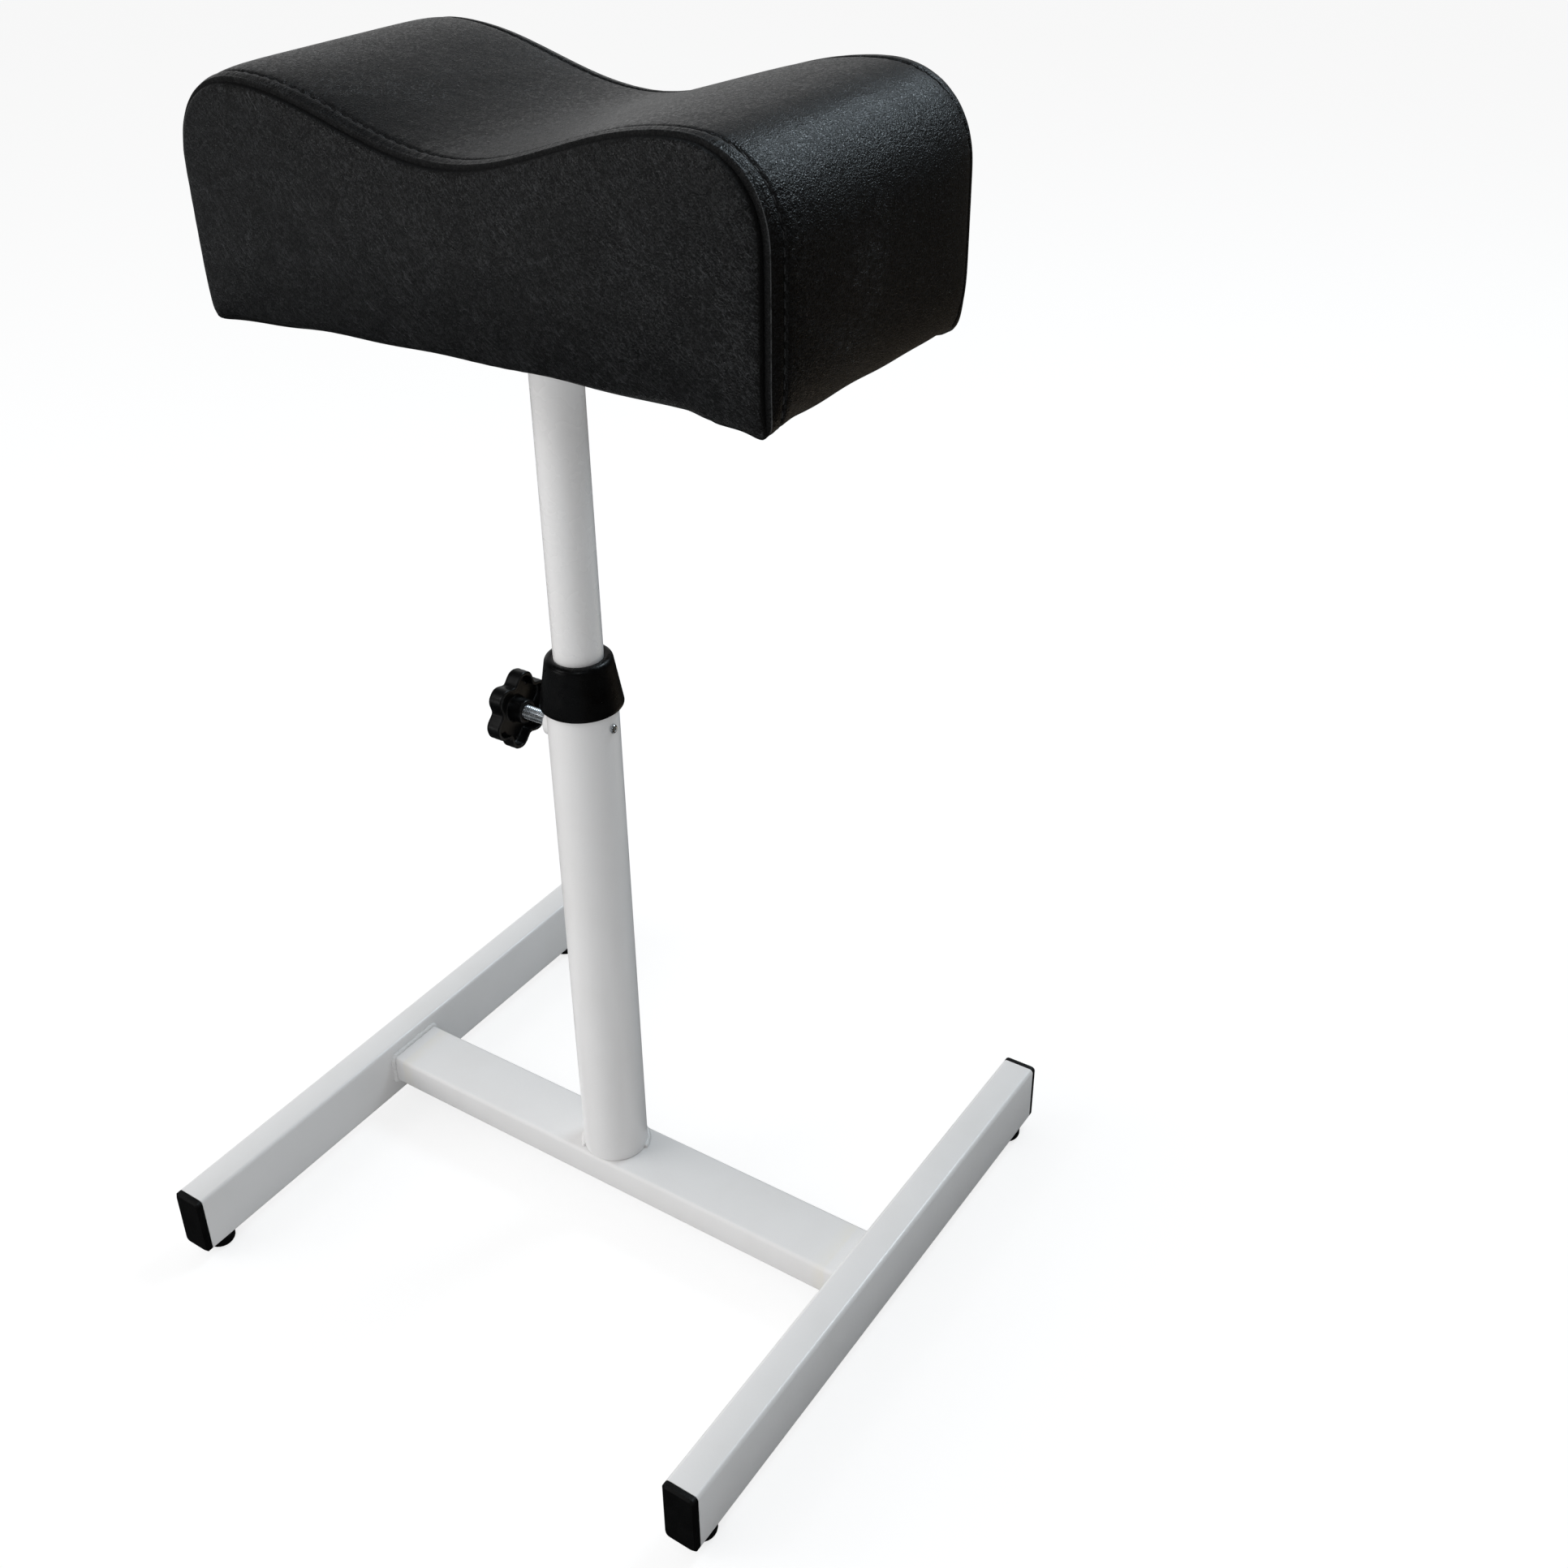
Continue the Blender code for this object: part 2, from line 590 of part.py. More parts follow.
def make_board(pivot):
    outline = rounded_box_outline(BOARD_WIDTH, BOARD_DEPTH, BOARD_CORNER)
    place = (PAD_SHIFT_X, PAD_SHIFT_Y, BOARD_Z)
    board = add_object("seat_board", slab(outline, BOARD_THICKNESS), LOOKS["plywood"], place)
    for index, place in enumerate(plate_screw_places()):
        hole = screw_hole("board_hole_" + str(index), place, BOARD_Z, BOARD_Z + BOARD_THICKNESS)
        cut(board, hole)
    attach(board, pivot)


def make_dust_cover(pivot):
    width = BOARD_WIDTH - 2 * COVER_INSET
    depth = BOARD_DEPTH - 2 * COVER_INSET
    outline = rounded_box_outline(width, depth, BOARD_CORNER - COVER_INSET)
    place = (PAD_SHIFT_X, PAD_SHIFT_Y, COVER_Z)
    mesh = slab(outline, PAD_COVER_BELOW_BOARD)
    cover = add_object("dust_cover", mesh, LOOKS["black cloth"], place)
    for index, place in enumerate(plate_screw_places()):
        high = COVER_Z + PAD_COVER_BELOW_BOARD
        cut(cover, screw_hole("cover_hole_" + str(index), place, COVER_Z, high))
    attach(cover, pivot)


def pad_top(x):
    # Seam height over the pad's width: a valley between two crests, then the
    # shoulders that fall to the sides.
    crest_x = PAD_CREST_SPAN / 2
    if abs(x) <= crest_x:
        swing = math.sin(math.pi * abs(x) / PAD_CREST_SPAN)
        return PAD_CREST_HEIGHT - PAD_VALLEY_DROP * (1 - swing ** 2)
    share = min(1.0, (abs(x) - crest_x) / (HALF_SEAM - crest_x))
    fall = 1 - (1 - share ** PAD_SHOULDER_POWER) ** (1 / PAD_SHOULDER_POWER)
    return PAD_CREST_HEIGHT - PAD_SHOULDER_HEIGHT * fall


def pad_half_outline():
    # From the valley's middle over the right crest and down to the floor's
    # middle, as (x, height above the lowest corner).
    crest_x = PAD_CREST_SPAN / 2
    points = []
    half = PAD_TOP_SEGMENTS // 2
    for index in range(half + 1):
        x = crest_x * index / half
        points.append((x, pad_top(x)))
    for index in range(1, PAD_SHOULDER_SEGMENTS + 1):
        angle = math.pi / 2 * index / PAD_SHOULDER_SEGMENTS
        x = crest_x + (HALF_SEAM - crest_x) * math.sin(angle)
        points.append((x, pad_top(x)))
    shoulder = PAD_CREST_HEIGHT - PAD_SHOULDER_HEIGHT
    for index in range(1, PAD_SIDE_SEGMENTS + 1):
        share = index / PAD_SIDE_SEGMENTS
        x = HALF_SEAM - PAD_SIDE_TUCK * share ** 2
        points.append((x, shoulder + (PAD_FOOT_ROUND - shoulder) * share))
    middle = (HALF_SEAM - PAD_SIDE_TUCK - PAD_FOOT_ROUND, PAD_FOOT_ROUND)
    points += arc(middle, PAD_FOOT_ROUND, 0, -90, ROUND_SEGMENTS)[1:]
    half = PAD_BOTTOM_SEGMENTS // 2
    for index in range(1, half + 1):
        x = middle[0] * (1 - index / half)
        points.append((x, PAD_HEM_RISE * (1 - (x / middle[0]) ** PAD_HEM_POWER)))
    return points


def pad_outline():
    half = pad_half_outline()
    return half + [(-x, z) for x, z in reversed(half[1:-1])]


def grown(outline, fullness):
    # Moves the points of the seam's outline outwards, by the strip's crown.
    made = []
    count = len(outline)
    for index in range(count):
        before = Vector(outline[index - 1])
        after = Vector(outline[(index + 1) % count])
        along = (after - before).normalized()
        crown = PAD_TOP_CROWN + (PAD_SIDE_CROWN - PAD_TOP_CROWN) * abs(along.y)
        outward = Vector((-along.y, along.x))
        made.append(tuple(Vector(outline[index]) + fullness * crown * outward))
    return made


def pad_ring(outline, y):
    # Near the hem, each panel and side draws in towards the board and up,
    # but not at the corners, where the cover bunches and hangs.
    half_depth = PAD_DEPTH / 2
    made = []
    for x, z in outline:
        panel_share = max(0.0, 1 - abs(x / HALF_SEAM) ** PAD_HEM_POWER)
        side_share = max(0.0, 1 - abs(y / half_depth) ** PAD_HEM_POWER)
        hem_share = max(0.0, 1 - z / PAD_HEM_HEIGHT) ** 2
        pull = PAD_HEM_TUCK * hem_share
        lift = PAD_HEM_RISE * hem_share * side_share * (1 - panel_share)
        inward_x = x * (1 - pull * side_share / HALF_SEAM)
        inward_y = y * (1 - pull * panel_share / half_depth)
        made.append((inward_x, inward_y, z + lift))
    return made


def make_cushion(pivot):
    seam = pad_outline()
    half = PAD_DEPTH / 2
    middle = PAD_CREST_HEIGHT / 2 - PAD_HEM_RISE
    front = []
    for share in PAD_PANEL_SHARES:
        outline = [(x * share, middle + (z - middle) * share) for x, z in seam]
        y = half + PAD_PANEL_CROWN * math.sqrt(1 - share ** 2)
        front.append((outline, y))
    strip = []
    for share in PAD_STRIP_SHARES:
        strip.append((grown(seam, 1 - share ** PAD_STRIP_POWER), half * share))
    rows = [pad_ring(outline, -y) for outline, y in reversed(front)]
    rows += [pad_ring(outline, -y) for outline, y in reversed(strip)]
    rows += [pad_ring(outline, y) for outline, y in strip[1:]]
    rows += [pad_ring(outline, y) for outline, y in front]
    place = (PAD_SHIFT_X, PAD_SHIFT_Y, PAD_Z)
    cushion = add_object("cushion", loft(rows), LOOKS["black leatherette"], place)
    width = BOARD_WIDTH + 2 * SEAT_GAP
    depth = BOARD_DEPTH + 2 * SEAT_GAP
    outline = rounded_box_outline(width, depth, BOARD_CORNER + SEAT_GAP)
    top = BOARD_Z + BOARD_THICKNESS + SEAT_GAP
    low = PAD_Z - CUT_OVERRUN
    mesh = loft([at_height(outline, low), at_height(outline, top)])
    cut(cushion, add_object("board_pocket", mesh, LOOKS["cutter"], (PAD_SHIFT_X, PAD_SHIFT_Y, 0)))
    attach(cushion, pivot)


def build():
    make_rails()
    make_cross_tube()
    make_caps()
    make_feet()
    make_lower_post()
    make_collar()
    make_clamp_nut()
    make_bush_screw()
    clamp = add_pivot("clamp_axis", (0, 0, STUD_Z))
    make_clamp(clamp)
    lift = add_pivot("lift_axis", (0, 0, UPPER_BOTTOM_Z))
    make_end_plug(lift)
    head = add_pivot("swivel_axis", (0, 0, UPPER_BOTTOM_Z), lift)
    make_upper_post(head)
    make_plate(head)
    make_plate_screws(head)
    make_board(head)
    make_dust_cover(head)
    make_cushion(head)
    head.rotation_euler.z = PAD_TURN


clear_scene()
LOOKS = {
    "white steel": material("white steel", (0.86, 0.86, 0.85), 0.38),
    "black plastic": material("black plastic", (0.012, 0.012, 0.013), 0.42),
    "black leatherette": material("black leatherette", (0.016, 0.017, 0.019), 0.48),
    "zinc steel": material("zinc steel", (0.62, 0.64, 0.66), 0.28, 1.0),
    "plywood": material("plywood", (0.55, 0.40, 0.24), 0.7),
    "black cloth": material("black cloth", (0.02, 0.02, 0.02), 0.9),
    "cutter": material("cutter", (0.8, 0.2, 0.2), 0.5),
}
build()
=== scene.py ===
# Looks for a pedicure footrest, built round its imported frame.
# Metres, +Z up, -Y is the front, and the clamp's knob is on the left, at -X.

import json
import math

import bmesh
import bpy
import numpy as np
from mathutils import Matrix, Vector
from mathutils.kdtree import KDTree

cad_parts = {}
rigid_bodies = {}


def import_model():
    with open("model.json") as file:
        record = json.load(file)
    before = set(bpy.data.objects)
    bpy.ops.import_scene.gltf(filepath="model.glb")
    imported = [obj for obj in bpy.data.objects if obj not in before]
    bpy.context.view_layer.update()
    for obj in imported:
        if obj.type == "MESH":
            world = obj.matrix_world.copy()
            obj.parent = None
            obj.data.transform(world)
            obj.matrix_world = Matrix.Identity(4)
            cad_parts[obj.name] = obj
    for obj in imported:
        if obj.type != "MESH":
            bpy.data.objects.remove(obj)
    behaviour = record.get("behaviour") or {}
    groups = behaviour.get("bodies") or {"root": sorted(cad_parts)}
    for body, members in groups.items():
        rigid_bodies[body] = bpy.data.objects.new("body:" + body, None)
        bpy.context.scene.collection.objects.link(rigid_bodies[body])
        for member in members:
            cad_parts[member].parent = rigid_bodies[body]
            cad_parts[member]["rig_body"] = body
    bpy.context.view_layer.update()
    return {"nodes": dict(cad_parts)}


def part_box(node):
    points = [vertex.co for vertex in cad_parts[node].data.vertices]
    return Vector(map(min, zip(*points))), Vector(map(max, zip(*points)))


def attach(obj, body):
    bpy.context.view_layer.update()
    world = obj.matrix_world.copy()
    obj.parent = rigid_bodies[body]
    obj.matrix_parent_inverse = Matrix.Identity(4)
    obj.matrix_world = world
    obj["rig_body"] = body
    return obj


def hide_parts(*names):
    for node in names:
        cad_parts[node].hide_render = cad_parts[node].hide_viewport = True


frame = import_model()
print("frame loaded with", len(frame["nodes"]), "nodes")


def placed(name, data):
    made = bpy.data.objects.new(name, data)
    bpy.context.scene.collection.objects.link(made)
    return made


# The camera stands where the photograph was taken from. The picture was cropped
# off centre, which the shift follows.
cameraSettings = {
    "place": (0.5307, -0.63312, 0.82265),
    "target": (0.05105, -0.02399, 0.348),
    "roll": -0.0627,
    "imageSize": 1932,
    "focalLength": 2215.45,  # in pixels of that image
    "imageMiddle": (780.14, 929.25),
    "sensor": 36.0,
}


def makeCamera(settings):
    size = settings["imageSize"]
    data = bpy.data.cameras.new("camera")
    data.sensor_width = settings["sensor"]
    data.lens = settings["focalLength"] / size * settings["sensor"]
    data.shift_x = 0.5 - settings["imageMiddle"][0] / size
    data.shift_y = settings["imageMiddle"][1] / size - 0.5
    data.clip_start, data.clip_end = 0.01, 50
    place = Vector(settings["place"])
    ahead = (Vector(settings["target"]) - place).normalized()
    level = ahead.cross(Vector((0, 0, 1))).normalized()
    above = level.cross(ahead)
    cosine, sine = math.cos(settings["roll"]), math.sin(settings["roll"])
    right = cosine * level + sine * above
    up = cosine * above - sine * level
    turn = Matrix((right, up, -ahead)).transposed().to_4x4()
    made = placed("camera", data)
    made.matrix_world = Matrix.Translation(place) @ turn
    bpy.context.scene.camera = made


makeCamera(cameraSettings)
bpy.context.scene.view_settings.view_transform = "Standard"
print("camera placed")


class Signal:
    # Wraps a socket of a node tree. Sums on it add Math nodes, and node() adds
    # any other node to the same tree.
    def __init__(self, tree, socket=None):
        self.tree = tree
        self.socket = socket

    def node(self, kind, settings=None, inputs=None, output=0):
        made = self.tree.nodes.new(kind)
        for key, value in (settings or {}).items():
            setattr(made, key, value)
        for key, value in (inputs or {}).items():
            if isinstance(value, Signal):
                self.tree.links.new(value.socket, made.inputs[key])
            elif value is not None:
                made.inputs[key].default_value = value
        return Signal(self.tree, made.outputs[output])

    def other(self, output):
        return Signal(self.tree, self.socket.node.outputs[output])

    def maths(self, operation, first, second=None):
        return self.node("ShaderNodeMath", {"operation": operation}, {0: first, 1: second})

    def __add__(self, other):
        return self.maths("ADD", self, other)

    def __sub__(self, other):
        return self.maths("SUBTRACT", self, other)

    def __rsub__(self, other):
        return self.maths("SUBTRACT", other, self)

    def __mul__(self, other):
        return self.maths("MULTIPLY", self, other)

    def __truediv__(self, other):
        return self.maths("DIVIDE", self, other)

    def __pow__(self, other):
        return self.maths("POWER", self, other)

    def __abs__(self):
        return self.maths("ABSOLUTE", self)

    def vector(self, operation, second=None, scale=None, output=0):
        inputs = {0: self, 1: second, "Scale": scale}
        return self.node("ShaderNodeVectorMath", {"operation": operation}, inputs, output)

    def split(self):
        return self.node("ShaderNodeSeparateXYZ", None, {0: self})

    def ranged(self, low, high, first=0.0, last=1.0):
        inputs = {"Value": self, "From Min": low, "From Max": high}
        inputs.update({"To Min": first, "To Max": last})
        return self.node("ShaderNodeMapRange", {"interpolation_type": "SMOOTHSTEP"}, inputs)

    def blend(self, first, second):
        # A colour between two, by this signal. Each is a signal or three values.
        ends = [end if isinstance(end, Signal) else (*end, 1.0) for end in (first, second)]
        return self.node("ShaderNodeMix", {"data_type": "RGBA"}, {0: self, 6: ends[0], 7: ends[1]}, 2)

    def noise(self, scale, detail=2.0, roughness=0.5, distortion=0.0):
        inputs = {"Vector": self, "Scale": scale, "Detail": detail}
        inputs.update({"Roughness": roughness, "Distortion": distortion})
        return self.node("ShaderNodeTexNoise", None, inputs)

    def stretched(self, scale, turn=(0, 0, 0)):
        # Coordinates for a pattern that is longer by scale along its own axes, turned.
        inputs = {"Vector": self, "Scale": scale, "Rotation": turn}
        return self.node("ShaderNodeMapping", {"vector_type": "TEXTURE"}, inputs)

    def feed(self, shader, name):
        self.tree.links.new(self.socket, shader.inputs[name])

    def bump(self, shader, depth):
        self.node("ShaderNodeBump", None, {"Height": self, "Distance": depth}).feed(shader, "Normal")


def newLook(name, fixed):
    # A material with its constant values on the shader's own sockets, and the
    # object's coordinates for its patterns.
    look = bpy.data.materials.new(name)
    look.use_nodes = True
    shader = look.node_tree.nodes["Principled BSDF"]
    for key, value in fixed.items():
        shader.inputs[key].default_value = value
    return look, shader, Signal(look.node_tree).node("ShaderNodeTexCoord", output="Object")


enamelLook = {
    "clean": (0.800, 0.789, 0.784),
    "aged": (0.782, 0.770, 0.762),
    "tint": (0.800, 0.768, 0.690),  # scorched coat beside the welds
    "tintReach": (0.150, 0.1605, 0.1600, 0.1625),  # from the middle, in and out again
    "tintHeight": (0.036, 0.046),
    "speck": (0.55, 0.54, 0.53),
    "speckShare": 0.17,
    "coat": {"Coat Weight": 0.22, "Coat Roughness": 0.16},
    "cloudScale": 21,
    "glossScale": 90,
    "peelScale": 620,
    "peelDepth": 0.00006,
    "speckScale": 2600,
}


def makeEnamel(name, roughness, settings):
    look, shader, place = newLook(name, settings["coat"])
    clouds = place.noise(settings["cloudScale"], 3).ranged(0.42, 0.72)
    base = clouds.blend(settings["clean"], settings["aged"])
    axes = place.split()
    across = abs(axes.other("X"))
    first, full, fade, last = settings["tintReach"]
    low, high = settings["tintHeight"]
    nearWeld = across.ranged(first, full) * axes.other("Z").ranged(high, low)
    nearWeld = nearWeld * across.ranged(last, fade) * place.noise(160, 2)
    base = nearWeld.blend(base, settings["tint"])
    specks = place.noise(settings["speckScale"], 1)
    share = specks.ranged(0.60, 0.80) * settings["speckShare"]
    share.blend(base, settings["speck"]).feed(shader, "Base Color")
    gloss = place.noise(settings["glossScale"], 2)
    gloss.ranged(0.3, 0.7, roughness - 0.04, roughness + 0.07).feed(shader, "Roughness")
    peel = place.noise(settings["peelScale"], 2, 0.45)
    (peel + specks * 0.25).bump(shader, settings["peelDepth"])
    return look


plasticLook = {
    "dark": (0.0010, 0.0010, 0.0011),
    "light": (0.0026, 0.0026, 0.0028),
    "cloudScale": 60,
    "scuffScale": 700,
    "glossScale": 240,
    "grainScale": 1900,
    "grainDepth": 0.00004,
}


def makePlastic(name, roughness, specular, settings):
    look, shader, place = newLook(name, {"Specular IOR Level": specular})
    clouds = place.noise(settings["cloudScale"], 3).ranged(0.35, 0.7)
    clouds.blend(settings["dark"], settings["light"]).feed(shader, "Base Color")
    scuffs = place.stretched((1, 1, 8), (0.4, 0.7, 0)).noise(settings["scuffScale"], 2)
    worn = scuffs.ranged(0.60, 0.74) * clouds
    gloss = place.noise(settings["glossScale"], 2)
    gloss = gloss.ranged(0.3, 0.7, roughness - 0.05, roughness + 0.06)
    (gloss + worn * 0.08).feed(shader, "Roughness")
    cell = {"Vector": place, "Scale": settings["grainScale"]}
    grain = place.node("ShaderNodeTexVoronoi", {"feature": "SMOOTH_F1"}, cell)
    (grain + place.noise(420, 2)).bump(shader, settings["grainDepth"])
    return look


leatherLook = {
    # painted shade in the grain's valleys, and down the ends beside the seams
    "valley": (0.0003, 0.0003, 0.0004),
    "dark": (0.0006, 0.0006, 0.0007),
    "light": (0.0038, 0.0041, 0.0045),
    # painted glint along the creases and crinkles
    "creaseTint": (0.0950, 0.0980, 0.1020),
    "closedTint": (0.0008, 0.0008, 0.0009),  # painted shade in the seams and beside the stitches
    # painted highlight along the strip's folded edge
    "wornTint": (0.090, 0.092, 0.095),
    "pebbles": 800,  # a metre
    "crinkles": 900,
    "creases": 520,
    "ridges": 700,
    "mottles": 640,
    "grainDepth": 0.00019,
    "creaseTurn": (0.0, 0.80, 0.0),
    "stitchLine": 0.0080,
    "foldLine": 0.0019,  # painted highlight line along the strip's folded edge beside the seams down the ends
}


def makeLeather(name, settings):
    look, shader, place = newLook(name, {"Specular IOR Level": 0.42})
    turn = settings["creaseTurn"]
    warp = place.noise(420).other("Color").vector("SUBTRACT", (0.5, 0.5, 0.5))
    grainPlace = place.vector("ADD", warp.vector("SCALE", scale=0.0010))
    cell = {"Vector": grainPlace, "Scale": settings["pebbles"], "Randomness": 0.95}
    edge = place.node("ShaderNodeTexVoronoi", {"feature": "DISTANCE_TO_EDGE"}, cell)
    pebble = edge.ranged(0.0, 0.30)
    drawn = grainPlace.stretched((1.9, 1.2, 0.8), turn)
    crinkle = abs(drawn.noise(settings["crinkles"], 2, 0.55) - 0.5).ranged(0.0, 0.16)
    # Long thin creases that run down to the right across the panels, in patches, as bumps with a painted
    # glint along each.
    streak = place.stretched((7.0, 3.0, 1.0), turn).noise(settings["creases"], 2, 0.6, 0.5)
    line = streak.ranged(0.500, 0.516) * streak.ranged(0.532, 0.518)
    crease = line * place.noise(26, 3).ranged(0.47, 0.60)
    # Short crinkles all over, lying the same way, painted in as light glints.
    ridge = grainPlace.stretched((3.2, 1.8, 1.0), turn).noise(settings["ridges"], 2, 0.6)
    ridge = abs(ridge - 0.5).ranged(0.040, 0.006)
    ridge = ridge * place.noise(90, 2).ranged(0.35, 0.62, 0.60, 1.0)
    # Beside the seams the cover is drawn into small puckers.
    seam = place.node("ShaderNodeAttribute", {"attribute_name": "seamDistance"}, None, "Fac")
    along = place.node("ShaderNodeAttribute", {"attribute_name": "seamAlong"}, None, "Fac")
    fromSeam = abs(seam)
    # Where the seams and the stitch holes are, for their painted shade and their rougher finish.
    stitchPit = abs(seam - settings["stitchLine"]).ranged(0.0011, 0.0004)
    closed = place.maths("MAXIMUM", fromSeam.ranged(0.0020, 0.0009), stitchPit * 0.5)
    puckerPlace = place.node("ShaderNodeCombineXYZ", None, {0: along, 1: seam * 0.10})
    pucker = puckerPlace.noise(330, 2) * fromSeam.ranged(0.022, 0.004)
    # The top is stretched smooth; the panels and the ends keep their grain.
    facing = place.other("Normal").split()
    loose = facing.other("Z").ranged(0.97, 0.75, 0.40, 1.0)
    atEnd = abs(facing.other("X")).ranged(0.55, 0.90)
    dust = place.noise(30, 4, 0.6).ranged(0.35, 0.65)
    mottle = drawn.noise(settings["mottles"], 3, 0.62).ranged(0.43, 0.59)
    base = (dust * 0.35 + mottle * 0.55).blend(settings["dark"], settings["light"])
    # Painted shade: the grain's pebble edges and crinkles are darker where the cover lies loose.
    low = 1 - pebble * crinkle
    base = (low * loose).blend(base, settings["valley"])
    # Painted highlights: the creases and crinkles are lit up as glints, less so down the ends.
    light = place.maths("MAXIMUM", crease * 0.45, ridge * loose * 0.25) * (1 - atEnd * 0.5)
    base = light.blend(base, settings["creaseTint"])
    # Down the ends the band between the seam and the stitches is painted dark, as a painted dark
    # reflection, with a painted highlight line along its folded edge.
    strip = seam.ranged(0.0004, 0.0014) * seam.ranged(0.0125, 0.0085) * atEnd
    base = (strip * 0.8).blend(base, settings["valley"])
    # Painted shade in the seam grooves and the stitch holes.
    base = closed.blend(base, settings["closedTint"])
    # Painted highlight: a broken light line along the fold down the ends.
    worn = abs(seam - settings["foldLine"]).ranged(0.00042, 0.00015)
    worn = worn * atEnd * place.noise(210, 2).ranged(0.25, 0.55, 0.25, 1.0)
    worn.blend(base, settings["wornTint"]).feed(shader, "Base Color")
    gloss = mottle.ranged(0.0, 1.0, 0.37, 0.26) + (1 - pebble) * 0.10 + closed * 0.30
    gloss.feed(shader, "Roughness")
    height = pebble * 0.60 + crinkle * 0.60 + place.noise(3200, 2) * 0.16 + crease * 0.5
    height = height * loose + pucker * 3.0 + place.noise(130, 2) * 1.4 + place.noise(42, 2) * 2.4
    height.bump(shader, settings["grainDepth"])
    return look


zincLook = {"bright": (0.66, 0.69, 0.72), "dull": (0.42, 0.44, 0.46), "depth": 0.00002}


def makeZinc(name, settings):
    look, shader, place = newLook(name, {"Metallic": 1.0})
    clouds = place.noise(420, 3).ranged(0.35, 0.70)
    clouds.blend(settings["bright"], settings["dull"]).feed(shader, "Base Color")
    streaks = place.stretched((7, 1, 1)).noise(1500, 2)
    streaks.ranged(0.3, 0.7, 0.17, 0.36).feed(shader, "Roughness")
    streaks.bump(shader, settings["depth"])
    return look


plywoodLook = {"pale": (0.56, 0.41, 0.25), "dark": (0.34, 0.22, 0.12), "plies": 9, "depth": 0.0001}


def makePlywood(name, settings):
    look, shader, place = newLook(name, {"Specular IOR Level": 0.3})
    grain = place.stretched((16, 1, 1)).noise(380, 4, 0.6, 1.2)
    rings = place.stretched((10, 1, 1)).noise(55, 3, 0.5, 2.0)
    base = (grain * 0.6 + rings * 0.4).ranged(0.35, 0.62)
    base = base.blend(settings["pale"], settings["dark"])
    low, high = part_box("seat_board")
    rate = settings["plies"] * math.pi / (high.z - low.z)
    ply = place.maths("SINE", (place.split().other("Z") - low.z) * rate)
    facing = place.node("ShaderNodeNewGeometry", output="Normal").split()
    onEdge = abs(facing.other("Z")).ranged(0.6, 0.3)
    mask = onEdge * ply.ranged(-0.1, 0.3) * 0.6
    mask.blend(base, settings["dark"]).feed(shader, "Base Color")
    grain.ranged(0.3, 0.7, 0.62, 0.80).feed(shader, "Roughness")
    grain.bump(shader, settings["depth"])
    return look


clothLook = {
    "thread": (0.020, 0.020, 0.021),
    "gap": (0.006, 0.006, 0.0065),
    "fibreScale": 900,
    "dotScale": 420,
    "depth": 0.0003,
}


def makeCloth(name, settings):
    # Pressed fibres with a grid of small bonded dots.
    look, shader, place = newLook(name, {"Specular IOR Level": 0.2, "Sheen Weight": 0.12})
    one = place.stretched((5, 1, 1), (0, 0, 0.6)).noise(settings["fibreScale"], 3)
    two = place.stretched((1, 5, 1), (0, 0, 0.3)).noise(settings["fibreScale"], 3)
    fibres = place.maths("MAXIMUM", one, two).ranged(0.45, 0.7)
    cell = {"Vector": place, "Scale": settings["dotScale"], "Randomness": 0.12}
    dots = place.node("ShaderNodeTexVoronoi", None, cell).ranged(0.30, 0.18)
    shade = fibres * (1 - dots * 0.7)
    shade.blend(settings["gap"], settings["thread"]).feed(shader, "Base Color")
    shade.ranged(0, 1, 0.95, 0.8).feed(shader, "Roughness")
    shade.bump(shader, settings["depth"])
    return look


threadLook = {
    "dark": (0.003, 0.003, 0.0033),
    "light": (0.011, 0.011, 0.012),
    "twists": 2600,
    "depth": 0.0001,
}


def makeThread(name, settings):
    # Twisted sewing thread.
    look, shader, place = newLook(name, {"Specular IOR Level": 0.5, "Sheen Weight": 0.2})
    twist = place.noise(settings["twists"], 1)
    twist.blend(settings["dark"], settings["light"]).feed(shader, "Base Color")
    twist.ranged(0.3, 0.7, 0.42, 0.62).feed(shader, "Roughness")
    twist.bump(shader, settings["depth"])
    return look


looks = {
    "base": makeEnamel("baseEnamel", 0.36, enamelLook),
    "post": makeEnamel("postEnamel", 0.25, enamelLook),
    "cap": makePlastic("capPlastic", 0.50, 0.28, plasticLook),
    "foot": makePlastic("glidePlastic", 0.56, 0.28, plasticLook),
    "collar": makePlastic("collarPlastic", 0.30, 0.17, plasticLook),
    "knob": makePlastic("knobPlastic", 0.34, 0.24, plasticLook),
    "leather": makeLeather("blackLeatherette", leatherLook),
    "zinc": makeZinc("zincPlate", zincLook),
    "plywood": makePlywood("plywood", plywoodLook),
    "cloth": makeCloth("nonWovenCloth", clothLook),
    "thread": makeThread("sewingThread", threadLook),
}
print("materials made:", len(looks))


def addPiece(name, mesh, look, body, slot, *nodes):
    # A piece in its material, riding on its body, in place of the nodes named.
    piece = placed(name, mesh)
    mesh.materials.clear()
    mesh.materials.append(looks[look])
    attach(piece, body)
    if nodes:
        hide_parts(*nodes)
    return piece


def meshFrom(form, name):
    mesh = bpy.data.meshes.new(name)
    form.to_mesh(mesh)
    form.free()
    return mesh


def applied(holder):
    # The mesh that an object's modifiers give. The object goes.
    bpy.context.view_layer.update()
    ready = holder.evaluated_get(bpy.context.evaluated_depsgraph_get())
    made = bpy.data.meshes.new_from_object(ready)
    bpy.data.objects.remove(holder)
    return made


def smoothMesh(mesh, degrees):
    mesh.shade_smooth()
    mesh.set_sharp_from_angle(angle=math.radians(degrees))


